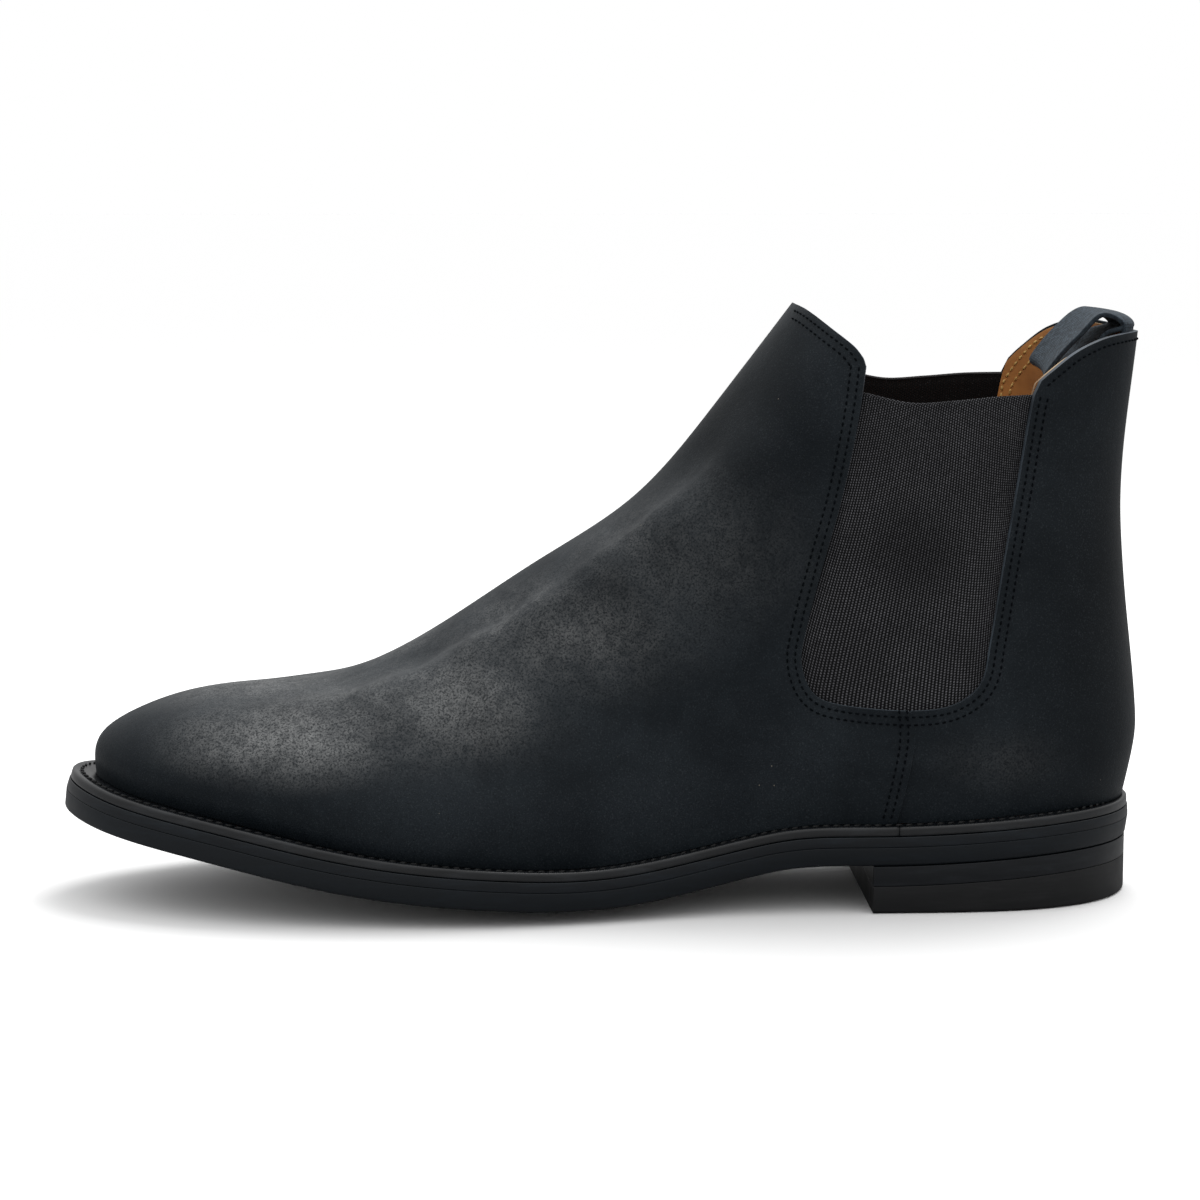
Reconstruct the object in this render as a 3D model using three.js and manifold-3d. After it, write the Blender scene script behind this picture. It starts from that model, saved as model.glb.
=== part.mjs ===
// A left chelsea boot: round toe, elastic side gussets, webbing pull loop and a welted rubber sole.
// Millimetres, +Z up. The toe points along -X, the outer (lateral) side of the foot faces -Y, and the
// origin lies on the floor under the middle of the boot.
import * as THREE from "three";
import { ParametricGeometry } from "three/addons/geometries/ParametricGeometry.js";
import { mergeVertices } from "three/addons/utils/BufferGeometryUtils.js";
import Module from "manifold-3d";

// Driving dimensions
const SOLE_LENGTH = 305; // toe tip of the outsole to the back of the heel
const BALL_WIDTH = 104.5; // widest part of the outsole
const SHAFT_HEIGHT = 168; // floor to the tip of the front tab
const LEATHER = 1.6; // upper leather
const CORE = 1.0; // layer between leather and lining: elastic, toe puff, heel counter
const LINING = 0.8; // lining leather
const LAYER_GAP = 0.3; // clearance between two glued or sewn layers
const SEAT_GAP = 0.6; // clearance between the wall of the upper and the welt
const WELT = 2.8; // welt and heel rand
const MIDSOLE = 2.5;
const OUTSOLE = 5.3;
const INSOLE = 2.8;
const INSOLE_CLEARANCE = 1; // insole edge to lining
const SOCK = 1.0; // heel sock over the insole
const SOCK_CLEARANCE = 1.6; // sock edge to lining
const SOCK_LEVEL = 0.3; // level of the upper where the sock lies
const SOCK_FRONT = 20; // x of the front edge of the heel sock
const HEEL_LIFT = 5.2; // leather lift between outsole and top piece
const WAIST_END = 55; // x where the sole line runs into the heel seat
const HEEL_BREAST = 74.5; // x of the front face of the heel
const RAND_JOINT = 81.5; // x where welt and heel rand butt
const WELT_RING = 13; // width of the welt under the upper
const RIB = 2; // insole rib, inside the welt
const SOLE_DIP = 4.1; // how far the middle of the forepart bulges below its edge
const EDGE_ROUND = 1; // inset of the lower edge of outsole and top piece
const GUSSET_MARGIN = 6.5; // elastic held between leather and lining
const LINING_SETBACK = 0.8; // lining below the leather at the collar
const MEDIAL_RISE = 2.8; // medial gusset top above the lateral one
const NAIL_RADIUS = 0.9;
const NAIL_COUNT = 6; // heel nails
const NAIL_INSET = 11;
const NAIL_PITCH = 0.052; // spacing of the nails round the heel, as a part of the sole outline
const NAIL_FOOT = 3; // height of the lower nail ends, sunk in the top piece
const LOOP_WIDTH = 20;
const LOOP_THICK = 1.3;

// The lines below are drawn for this size and scaled to the driving dimensions.
const DRAWN = { length: 305, width: 104.5, height: 168, loop: 20, ball: 15.9, stack: 11.2 };
const SX = SOLE_LENGTH / DRAWN.length;
const SY = BALL_WIDTH / DRAWN.width;
const SZ = SHAFT_HEIGHT / DRAWN.height;

const FAR = 400; // beyond the boot in any direction

// ---------------------------------------------------------------- solids

const wasm = await Module();
wasm.setup();

function toSolid(geometry) {
  const bare = geometry.index ? geometry.toNonIndexed() : geometry.clone();
  bare.deleteAttribute("normal");
  bare.deleteAttribute("uv");
  const merged = mergeVertices(bare, 1e-3);
  const index = merged.index.array;
  const faces = [];
  for (let i = 0; i < index.length; i += 3) {
    const [a, b, c] = [index[i], index[i + 1], index[i + 2]];
    if (a !== b && b !== c && c !== a) faces.push(a, b, c);
  }
  const vertProperties = merged.attributes.position.array;
  return new wasm.Manifold(
    new wasm.Mesh({ numProp: 3, vertProperties, triVerts: new Uint32Array(faces) }),
  );
}

function toGeometry(solid) {
  const mesh = solid.getMesh();
  const geometry = new THREE.BufferGeometry();
  geometry.setAttribute("position", new THREE.BufferAttribute(mesh.vertProperties, 3));
  geometry.setIndex(new THREE.BufferAttribute(mesh.triVerts, 1));
  geometry.computeVertexNormals();
  return geometry;
}

// A prism over an outline of [x, z] points, between two values of y.
function prism(points, yMin, yMax) {
  const shape = new THREE.Shape(points.map(([x, z]) => new THREE.Vector2(x, z)));
  const geometry = new THREE.ExtrudeGeometry(shape, { depth: yMax - yMin, bevelEnabled: false });
  geometry.rotateX(Math.PI / 2);
  geometry.translate(0, yMax, 0);
  return toSolid(geometry);
}

function boxSolid(low, high) {
  const size = high.map((value, axis) => value - low[axis]);
  const geometry = new THREE.BoxGeometry(...size);
  geometry.translate(...low.map((value, axis) => value + size[axis] / 2));
  return toSolid(geometry);
}

// ---------------------------------------------------------------- smooth curves and surfaces

// Value of a uniform cubic B-spline with the given poles at parameter t. Open splines run straight
// past their ends.
function splineAt(poles, t, closed) {
  const count = poles.length;
  const pole = (i) => {
    if (closed) return poles[((i % count) + count) % count];
    if (i < 0) return 2 * poles[0] - poles[Math.min(-i, count - 1)];
    if (i >= count) return 2 * poles[count - 1] - poles[2 * count - 2 - i];
    return poles[i];
  };
  const cell = closed ? Math.floor(t) : Math.min(Math.max(Math.floor(t), 0), count - 2);
  const f = t - cell;
  const weights = [
    (1 - f) ** 3 / 6,
    (3 * f ** 3 - 6 * f ** 2 + 4) / 6,
    (-3 * f ** 3 + 3 * f ** 2 + 3 * f + 1) / 6,
    f ** 3 / 6,
  ];
  return weights.reduce((sum, weight, k) => sum + weight * pole(cell + k - 1), 0);
}

// Poles whose spline passes through the given values.
function polesThrough(values, closed) {
  let poles = [...values];
  for (let pass = 0; pass < 30; pass++)
    poles = poles.map((pole, i) => pole + values[i] - splineAt(poles, i, closed));
  return poles;
}

// A smooth profile z(x) or y(x) through [x, value] points that rise in x.
function profile(points) {
  const xs = polesThrough(points.map((point) => point[0]), false);
  const ys = polesThrough(points.map((point) => point[1]), false);
  return (x) => {
    let low = 0;
    let high = points.length - 1;
    for (let pass = 0; pass < 40; pass++) {
      const middle = (low + high) / 2;
      if (splineAt(xs, middle, false) < x) low = middle;
      else high = middle;
    }
    return splineAt(ys, low, false);
  };
}

// Points of a smooth open curve through [x, z] points.
function smoothLine(points, steps) {
  const curve = new THREE.SplineCurve(points.map(([x, z]) => new THREE.Vector2(x, z)));
  return curve.getPoints(steps).map((point) => [point.x, point.y]);
}

// ---------------------------------------------------------------- bottom lines

// Height of the top of the welt along the boot: toe spring, ball, rising waist, heel seat.
const SEAT_LINE = profile([
  [-153, 37.3], [-136, 33.2], [-118, 30.1], [-98, 26.6], [-74, 21.6], [-50, 17.9], [-25, 15.9],
  [0, 15.9], [25, 19.4], [46, 23.4], [62, 24.7], [84, 24.7], [110, 25.8], [132, 27], [153, 27.4],
]);

// Half widths of the outsole from toe to heel: [x, lateral, medial].
const SOLE_PLAN = [
  [-150.6, 0, 0], [-147.4, 12.6, 12.6], [-137.4, 25.8, 25.8], [-121, 37, 37.8], [-98, 46.2, 47.8],
  [-72, 50.8, 52], [-45, 52.5, 50.8], [-20, 50.8, 46], [2, 46.5, 40], [26, 41, 35.5],
  [52, 38.4, 34.6], [82, 38, 35.6], [110, 36.8, 36], [131, 31, 31], [146, 18.5, 18.5],
  [152, 0, 0],
];

const PLAN_LOOP = [
  ...SOLE_PLAN.map(([x, lateral]) => [x * SX, -lateral * SY]),
  ...SOLE_PLAN.slice(1, -1).reverse().map(([x, , medial]) => [x * SX, medial * SY]),
];
const PLAN_POLES = [0, 1].map((axis) => polesThrough(PLAN_LOOP.map((point) => point[axis]), true));

// Point of the sole outline, t from 0 at the toe over the lateral side (heel at 0.5) back to 1, moved
// inwards by inset.
function solePoint(t, inset = 0) {
  const at = (value) => PLAN_POLES.map((poles) => splineAt(poles, value * PLAN_LOOP.length, true));
  const [x, y] = at(t);
  const [ax, ay] = at(t - 1e-3);
  const [bx, by] = at(t + 1e-3);
  const length = Math.hypot(bx - ax, by - ay);
  return [x - (inset * (by - ay)) / length, y + (inset * (bx - ax)) / length];
}

// Depth of the tread below the top of the welt.
const SOLE_STACK = WELT + MIDSOLE + OUTSOLE + 2 * LAYER_GAP;

// Edge of the welt at x. The tread at the ball stays at the floor, however high the boot or thick the
// sole.
function seatEdge(x) {
  return (SEAT_LINE(x / SX) - DRAWN.ball) * SZ + DRAWN.ball + SOLE_STACK - DRAWN.stack;
}

// Top of the welt. The middle of the forepart hangs below the edge, the heel seat is flat.
function seatHeight(x, y) {
  const dip = SOLE_DIP * Math.exp(-(((x / SX + 32) / 58) ** 2));
  return seatEdge(x) - dip * (1 - (y / (BALL_WIDTH / 2)) ** 2);
}

// Point at a depth under the top of the welt. Forward of the waist the depth runs square to the sole
// line, so the edge leans with the toe spring; the heel's layers are stacked straight down.
function underWelt(x, y, depth) {
  const slope = ((SEAT_LINE(x / SX + 1) - SEAT_LINE(x / SX - 1)) / 2) * (SZ / SX);
  const lean = THREE.MathUtils.smoothstep(-x / SX, -WAIST_END, 0);
  return new THREE.Vector3(x + slope * lean * depth, y, seatHeight(x, y) - depth);
}

const SIDE_STEPS = 26; // stations from toe to heel
const ACROSS = 6; // facets across a sole layer

// A solid layer inside outline(t) between two faces given as functions of x and y. The lower
// outline may be drawn in, which rounds the bottom edge.
function layerSolid(outline, top, bottom, lowerOutline = outline) {
  const ringSteps = 2 * ACROSS + 2;
  const place = (s, w, target) => {
    const t = s / 2;
    const step = Math.round(w * ringSteps) % ringSteps;
    const isTop = step <= ACROSS;
    const across = isTop ? step / ACROSS : 1 - (step - ACROSS - 1) / ACROSS;
    const edge = isTop ? outline : lowerOutline;
    const [lx, ly] = edge(t);
    const [mx, my] = edge(1 - t);
    const x = lx + (mx - lx) * across;
    const y = ly + (my - ly) * across;
    target.copy(isTop ? top(x, y) : bottom(x, y));
  };
  return toSolid(new ParametricGeometry(place, SIDE_STEPS, ringSteps));
}

// A closed band between two insets of the sole outline.
function ringSolid(outer, inner, top, bottom) {
  const corners = [[outer, bottom], [outer, top], [inner, top], [inner, bottom]];
  const place = (u, w, target) => {
    const [inset, height] = corners[Math.round(w * 4) % 4];
    const [x, y] = solePoint(u % 1, inset);
    target.copy(height(x, y));
  };
  return toSolid(new ParametricGeometry(place, 2 * SIDE_STEPS, 4));
}

const below = (depth) => (x, y) => underWelt(x, y, depth);
const solePlan = (inset) => (t) => solePoint(t, inset);

// ---------------------------------------------------------------- upper lines

// The outer skin of the upper as level lines from the feather edge (first) to above the collar (last).
// Each level lists front [x, z], six lateral points [x, y, z] and back [x, z], then how far the six
// medial points differ from the lateral ones in y. The first level takes its height from the seat.
const LEVELS = [
  { front: [-143.6, 0], back: [150.2, 0], slim: [1, 1.5, 2, 6, 1.5, 0],
    side: [[-126, 27, 0], [-87, 42.4, 0], [-38, 46.5, 0], [26, 36, 0], [86, 33.5, 0], [134, 25, 0]] },
  { front: [-143.5, 42.8], back: [153.2, 42], slim: [1, 1, 2, 6, 1, 0],
    side: [[-127, 29, 40.5], [-88, 45.8, 34], [-38, 49.8, 28], [26, 37.6, 31], [86, 35.6, 35],
      [134.5, 27, 37]] },
  { front: [-137.6, 49.5], back: [153.6, 52], slim: [0, -0.5, 1, 4, 0.5, 0],
    side: [[-120, 26, 50], [-83, 42, 45], [-34, 45.6, 41], [28, 36.6, 43], [86.5, 35.8, 47],
      [134.5, 27.2, 49]] },
  { front: [-123, 55.7], back: [152.1, 67], slim: [0, -0.5, 0, 2, 0, 0],
    side: [[-108, 22, 56], [-74, 34.5, 55], [-28, 38.6, 57], [31, 34.4, 58], [87, 35.2, 61],
      [134, 26.6, 64]] },
  { front: [-104, 59.6], back: [150.2, 83], slim: [0, 0, 0, 1, 0, 0],
    side: [[-86, 19, 59], [-57, 27.5, 64.5], [-18, 32, 73], [35, 32.6, 75], [88, 34.4, 78],
      [133, 25.8, 80]] },
  { front: [-78, 61.8], back: [148.8, 98], slim: [0, 0, 0, 0, 0, 0],
    side: [[-61, 17, 64.6], [-38, 23.6, 74.5], [-5, 28.4, 87], [40, 31.4, 92], [89, 33.8, 94],
      [132, 25, 96]] },
  { front: [-49, 74.4], back: [148.1, 112], slim: [0, 0, 0, 0, 0, 0],
    side: [[-34, 16.8, 78.4], [-13, 22.4, 90], [14, 27.4, 102], [47, 30.8, 108], [90, 33.4, 110],
      [131.5, 24.4, 112]] },
  { front: [-19, 93.8], back: [148.7, 127], slim: [0, 0, 0, 0, 0, 0],
    side: [[-6, 16, 97.4], [11, 21.6, 107.6], [32, 27, 118], [56, 30.6, 123], [92, 33.2, 124.6],
      [131.3, 23.8, 126.5]] },
  { front: [9, 112.4], back: [150.1, 141], slim: [0, 0, 0, 0, 0, 0],
    side: [[19, 14.6, 116.2], [31, 21, 124.5], [46, 26.8, 132], [65, 30.8, 136.5], [94, 33.2, 138],
      [131.7, 23.4, 140]] },
  { front: [32, 138.4], back: [151.6, 154], slim: [0, 0, 0, 0, 0, 0],
    side: [[38.4, 12.8, 140], [47, 20.2, 144], [58.5, 26.6, 148], [74, 31, 150.5], [97.5, 33.2, 151.5],
      [132.3, 22.8, 153.5]] },
  { front: [56.2, 170], back: [153.2, 170], slim: [0, 0, 0, 0, 0, 0],
    side: [[59, 12, 170], [65, 19.6, 170], [73, 26.4, 170], [85, 31.2, 170], [102, 33.2, 170],
      [133.3, 22.2, 170]] },
];

function levelPoints({ front, side, back, slim }, isFeather) {
  const medial = side.map(([x, y, z], i) => [x, y - slim[i], z]).reverse();
  const loop = [
    [front[0], 0, front[1]],
    ...side.map(([x, y, z]) => [x, -y, z]),
    [back[0], 0, back[1]],
    ...medial,
  ].map(([x, y, z]) => [x * SX, y * SY, z * SZ]);
  if (isFeather) loop.forEach((point) => (point[2] = seatHeight(point[0], point[1]) + SEAT_GAP));
  return loop;
}

const LEVEL_POLES = [0, 1, 2].map((axis) => {
  const rows = LEVELS.map((level, i) =>
    polesThrough(levelPoints(level, i === 0).map((point) => point[axis]), true),
  );
  const columns = rows[0].map((_, i) => polesThrough(rows.map((row) => row[i]), false));
  return rows.map((row, j) => row.map((_, i) => columns[i][j]));
});
const LOOP_COUNT = LEVEL_POLES[0][0].length;
const TOP_LEVEL = LEVELS.length - 1;

function levelSurface(u, v) {
  const values = LEVEL_POLES.map((rows) =>
    splineAt(rows.map((row) => splineAt(row, u * LOOP_COUNT, true)), v, false),
  );
  return new THREE.Vector3(...values);
}

// Point of the outer skin: u runs round the boot as t does on the sole, v from 0 to TOP_LEVEL. The
// feather edge lies on the welt all the way round, and the level above it takes up the difference.
function skinPoint(u, v) {
  const point = levelSurface(u, v);
  if (v < 1) {
    const edge = levelSurface(u, 0);
    const error = seatHeight(edge.x, edge.y) + SEAT_GAP - edge.z;
    point.z += error * (1 - v) ** 2 * (1 + 2 * v);
  }
  return point;
}

// Point at a depth under the skin.
function underSkin(u, v, depth) {
  const step = 1e-2;
  const along = skinPoint(u + step / LOOP_COUNT, v).sub(skinPoint(u - step / LOOP_COUNT, v));
  const up = skinPoint(u, v + step).sub(skinPoint(u, v - step));
  const outwards = along.cross(up).normalize();
  return skinPoint(u, v).addScaledVector(outwards, -depth);
}

const ROUND_STEPS = 2 * Math.round(18 * SX); // facets round the boot, more on a longer one
const RISE_STEPS = 18; // facets from feather edge to collar

// The whole wall of the boot between two depths under the skin, from the feather edge upwards.
function wallSolid(shallow, deep) {
  const steps = 2 * RISE_STEPS + 2;
  const place = (u, w, target) => {
    const step = Math.round(w * steps) % steps;
    const isOuter = step <= RISE_STEPS;
    const level = isOuter ? step : 2 * RISE_STEPS + 1 - step;
    target.copy(underSkin(u % 1, (level / RISE_STEPS) * TOP_LEVEL, isOuter ? shallow : deep));
  };
  return toSolid(new ParametricGeometry(place, ROUND_STEPS, steps));
}

// ---------------------------------------------------------------- cutting lines of the upper

const scaled = (points, rise = 0) => points.map(([x, z]) => [x * SX, z * SZ + rise]);

// Gusset window seen from the side: front edge downwards, bottom, back edge upwards.
const WINDOW_FRONT = [[71.6, 151.5], [69.6, 137], [65.4, 116], [60.2, 97], [55.8, 80], [54.4, 70]];
const WINDOW_BOTTOM = [[57.8, 61.6], [66, 58.3], [85, 56.7], [97, 58.4], [104.4, 64.4]];
const WINDOW_BACK = [[107, 76], [110.3, 96], [114.4, 120], [117.4, 138], [118.6, 143.6]];
const FRONT_TAB = [[53.2, 168], [57, 166.2], [63, 161.4], [68.4, 157], [71, 153.6]];
const BACK_TAB = [[120.4, 147.2], [124, 150], [131, 154.8], [139, 158], [146, 159.2], [152, 159.6]];
const GUSSET_TOP = [[71.6, 144.4], [84, 141.6], [96, 142], [108, 143], [119, 143.4]];
const SIDE_SEAM = [[84.4, 58], [84.8, 48.4], [82.9, 37.2], [80, 24]];

// Everything above the collar and inside the windows, on one side of the boot. A positive margin
// widens the window and lowers the collar.
function openingCutter(isLateral, margin) {
  const rise = isLateral ? 0 : MEDIAL_RISE;
  const window = [
    ...scaled(WINDOW_FRONT).map(([x, z]) => [x - margin, z]),
    ...scaled(WINDOW_BOTTOM).map(([x, z]) => [x, z - margin]),
    ...scaled(WINDOW_BACK, rise).map(([x, z]) => [x + margin, z]),
  ];
  const front = scaled(FRONT_TAB).map(([x, z]) => [x - margin / 2, z - margin]);
  const back = scaled(BACK_TAB).map(([x, z], i) => [x, z - margin + (rise * (5 - i)) / 5]);
  const line = [
    [front[0][0] - FAR / 2, FAR],
    [front[0][0] - 6, front[0][1] + 2],
    ...smoothLine(front, 6),
    ...smoothLine(window, 26),
    ...smoothLine(back, 8),
    [FAR, back[5][1]],
    [FAR, FAR],
  ];
  return isLateral ? prism(line, -FAR, 0) : prism(line, 0, FAR);
}

// The elastic: the window with its sewn margin, below the top edge of the gusset.
function gussetBlock(isLateral) {
  const rise = isLateral ? 0 : MEDIAL_RISE;
  const top = smoothLine(scaled(GUSSET_TOP, rise), 8);
  const left = scaled(WINDOW_FRONT.slice(1)).map(([x, z]) => [x - GUSSET_MARGIN, z]);
  const bottom = scaled(WINDOW_BOTTOM).map(([x, z]) => [x, z - GUSSET_MARGIN]);
  const right = scaled(WINDOW_BACK.slice(0, -1), rise).map(([x, z]) => [x + GUSSET_MARGIN, z]);
  const line = [
    [top[0][0] - GUSSET_MARGIN, top[0][1]],
    ...smoothLine([...left, ...bottom, ...right], 24),
    [top[8][0] + GUSSET_MARGIN, top[8][1]],
    ...top.slice(1, -1).reverse(),
  ];
  return isLateral ? prism(line, -FAR, -5) : prism(line, 5, FAR);
}

// The half space in front of or behind the side seams, kept half a gap away from them.
function seamBlock(isFront) {
  const side = isFront ? -1 : 1;
  const seam = scaled(SIDE_SEAM).map(([x, z]) => [x + (side * LAYER_GAP) / 2, z]);
  const [top, foot] = [seam[0], seam[3]];
  const line = [[side * FAR, FAR], [top[0], FAR], ...seam, [foot[0], -FAR], [side * FAR, -FAR]];
  return prism(line, -FAR, FAR);
}

// ---------------------------------------------------------------- pieces

const root = new THREE.Group();
root.name = "chelsea_boot";

const FINISH = {
  waxed_leather: { color: 0x1c232b, roughness: 0.72, metalness: 0 },
  elastic: { color: 0x1d1c1f, roughness: 0.9, metalness: 0 },
  webbing: { color: 0x3c444e, roughness: 0.85, metalness: 0 },
  tan_lining: { color: 0xb8773a, roughness: 0.6, metalness: 0 },
  stiffener: { color: 0xb9a588, roughness: 0.9, metalness: 0 },
  sole_leather: { color: 0x17181a, roughness: 0.5, metalness: 0 },
  veg_leather: { color: 0xc49a6c, roughness: 0.7, metalness: 0 },
  cork: { color: 0x8a6239, roughness: 0.95, metalness: 0 },
  rubber: { color: 0x151617, roughness: 0.65, metalness: 0 },
  steel: { color: 0x9a9da1, roughness: 0.35, metalness: 1 },
};

function addPiece(name, solid, finish) {
  const mesh = new THREE.Mesh(toGeometry(solid), new THREE.MeshStandardMaterial(FINISH[finish]));
  mesh.name = name;
  root.add(mesh);
}

const LATERAL_HALF = boxSolid([-FAR, -FAR, -FAR], [FAR, -LAYER_GAP / 2, FAR]);
const MEDIAL_HALF = boxSolid([-FAR, LAYER_GAP / 2, -FAR], [FAR, FAR, FAR]);
const CORE_DEPTH = LEATHER + LAYER_GAP;
const LINING_DEPTH = CORE_DEPTH + CORE + LAYER_GAP;
const WALL = LINING_DEPTH + LINING;

function addLeather() {
  const wall = wallSolid(0, LEATHER)
    .subtract(openingCutter(true, 0))
    .subtract(openingCutter(false, 0));
  const back = wall.intersect(seamBlock(false));
  addPiece("front_panel", wall.intersect(seamBlock(true)), "waxed_leather");
  addPiece("quarter_lateral", back.intersect(LATERAL_HALF), "waxed_leather");
  addPiece("quarter_medial", back.intersect(MEDIAL_HALF), "waxed_leather");
}

function addLinings() {
  const wall = wallSolid(LINING_DEPTH, WALL)
    .subtract(openingCutter(true, LINING_SETBACK))
    .subtract(openingCutter(false, LINING_SETBACK));
  const back = wall.intersect(seamBlock(false));
  addPiece("vamp_lining", wall.intersect(seamBlock(true)), "tan_lining");
  addPiece("quarter_lining_lateral", back.intersect(LATERAL_HALF), "tan_lining");
  addPiece("quarter_lining_medial", back.intersect(MEDIAL_HALF), "tan_lining");
}

// Elastic gussets, toe puff and heel counter share the layer between leather and lining.
function addCoreLayer() {
  const wall = wallSolid(CORE_DEPTH, CORE_DEPTH + CORE);
  addPiece("elastic_lateral", wall.intersect(gussetBlock(true)), "elastic");
  addPiece("elastic_medial", wall.intersect(gussetBlock(false)), "elastic");
  const puff = prism(scaled([[-FAR, -10], [-96, -10], [-100, 40], [-108, FAR], [-FAR, FAR]]), -FAR, FAR);
  addPiece("toe_puff", wall.intersect(puff), "stiffener");
  const counterLine = [[86, -10], [86, 43], [104, 46], [116, 56], [121, 74], [136, 84], [FAR, 88]];
  const counter = prism(scaled([...counterLine, [FAR, -10]]), -FAR, FAR);
  addPiece("heel_counter", wall.intersect(counter), "stiffener");
}

// Outline of what lies inside the lining, at a level of the upper.
const insideOutline = (clearance, level) => (t) => {
  const point = underSkin(t, level, WALL + clearance);
  return [point.x, point.y];
};

function addInsole() {
  const outline = insideOutline(INSOLE_CLEARANCE, 0);
  const lift = below(-LAYER_GAP);
  addPiece("insole", layerSolid(outline, below(-LAYER_GAP - INSOLE), lift), "veg_leather");
  const sockBase = LAYER_GAP + INSOLE + LAYER_GAP;
  const sockOutline = insideOutline(SOCK_CLEARANCE, SOCK_LEVEL);
  const sock = layerSolid(sockOutline, below(-sockBase - SOCK), below(-sockBase));
  const heelHalf = boxSolid([SOCK_FRONT * SX, -FAR, -FAR], [FAR, FAR, FAR]);
  addPiece("heel_sock", sock.intersect(heelHalf), "tan_lining");
}

const CORK_INSET = WELT_RING + RIB + 2 * LAYER_GAP;
const SHANK = { from: 12, to: 102, halfWidth: 8, thick: 1.6 };

function addWeltLayer() {
  const ring = ringSolid(0, WELT_RING, below(0), below(WELT));
  const split = RAND_JOINT * SX;
  const frontHalf = boxSolid([-FAR, -FAR, -FAR], [split - LAYER_GAP / 2, FAR, FAR]);
  const backHalf = boxSolid([split + LAYER_GAP / 2, -FAR, -FAR], [FAR, FAR, FAR]);
  addPiece("welt", ring.intersect(frontHalf), "sole_leather");
  addPiece("heel_rand", ring.intersect(backHalf), "sole_leather");
  const ribOuter = WELT_RING + LAYER_GAP;
  addPiece("insole_rib", ringSolid(ribOuter, ribOuter + RIB, below(0), below(WELT)), "stiffener");
  const cork = layerSolid(solePlan(CORK_INSET), below(0), below(WELT));
  const fore = boxSolid([-FAR, -FAR, -FAR], [(SHANK.from - 1) * SX, FAR, FAR]);
  addPiece("cork_filler", cork.intersect(fore), "cork");
  const strip = (t) => {
    const angle = 2 * Math.PI * t;
    const reach = Math.min(1, Math.abs(Math.sin(angle)) * 3);
    const middle = ((SHANK.from + SHANK.to) / 2) * SX;
    const half = ((SHANK.to - SHANK.from) / 2) * SX;
    return [middle - half * Math.cos(angle), -SHANK.halfWidth * reach * Math.sign(Math.sin(angle))];
  };
  addPiece("shank", layerSolid(strip, below(LAYER_GAP), below(LAYER_GAP + SHANK.thick)), "steel");
}

const MIDSOLE_TOP = WELT + LAYER_GAP;
const OUTSOLE_TOP = MIDSOLE_TOP + MIDSOLE + LAYER_GAP;
const OUTSOLE_BOTTOM = OUTSOLE_TOP + OUTSOLE;
const LIFT_TOP = OUTSOLE_BOTTOM + LAYER_GAP;
const LIFT_BOTTOM = LIFT_TOP + HEEL_LIFT;
const TOP_PIECE_TOP = LIFT_BOTTOM + LAYER_GAP;

// Heel nails stand on a ring inside the heel outline, from the top piece up into the outsole.
function nailSolids(radius, from, to) {
  const nails = [];
  for (let i = 0; i < NAIL_COUNT; i++) {
    const t = 0.5 + (i - (NAIL_COUNT - 1) / 2) * NAIL_PITCH;
    const [x, y] = solePoint(t, NAIL_INSET);
    const geometry = new THREE.CylinderGeometry(radius, radius, to - from, 12);
    geometry.rotateX(Math.PI / 2);
    geometry.translate(x, y, (from + to) / 2);
    nails.push(toSolid(geometry));
  }
  return nails;
}

function addSoles() {
  const nailTop = seatEdge(RAND_JOINT * SX) - OUTSOLE_TOP - OUTSOLE / 2;
  const holes = nailSolids(NAIL_RADIUS + LAYER_GAP, NAIL_FOOT - LAYER_GAP, nailTop + LAYER_GAP);
  const drilled = (solid) => holes.reduce((rest, hole) => rest.subtract(hole), solid);
  const midsole = layerSolid(solePlan(0), below(MIDSOLE_TOP), below(MIDSOLE_TOP + MIDSOLE));
  addPiece("midsole", midsole, "sole_leather");

  const outsole = layerSolid(
    solePlan(0), below(OUTSOLE_TOP), below(OUTSOLE_BOTTOM), solePlan(EDGE_ROUND),
  );
  addPiece("outsole", drilled(outsole), "rubber");

  const heelBox = boxSolid([HEEL_BREAST * SX, -FAR, -FAR], [FAR, FAR, FAR]);
  const lift = layerSolid(solePlan(0.2), below(LIFT_TOP), below(LIFT_BOTTOM));
  addPiece("heel_lift", drilled(lift.intersect(heelBox)), "sole_leather");
  const floor = (x, y) => new THREE.Vector3(x, y, 0);
  const topPiece = layerSolid(solePlan(0.2), below(TOP_PIECE_TOP), floor, solePlan(EDGE_ROUND));
  addPiece("top_piece", drilled(topPiece.intersect(heelBox)), "rubber");
  nailSolids(NAIL_RADIUS, NAIL_FOOT, nailTop).forEach((nail, i) => {
    addPiece("heel_nail_" + (i + 1), nail, "steel");
  });
}

// The webbing loop lies folded forward over the collar. Both ends meet above the back seam.
// LOOP_LINE is drawn for DRAWN.loop; on a wider loop the lower leg lies further inwards, clear of the
// rounded back of the lining.
const BACK_RADIUS = 10; // inside of the lining behind the loop
const LOOP_LINE = [
  [150.2, 161.6], [147, 163.8], [141.5, 164.4], [135.5, 161.2], [129, 155], [124.2, 149],
  [123, 146.4], [126, 145.6], [132, 147.8], [136.8, 150.8], [140, 155.4], [142.8, 160.8],
];

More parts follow.
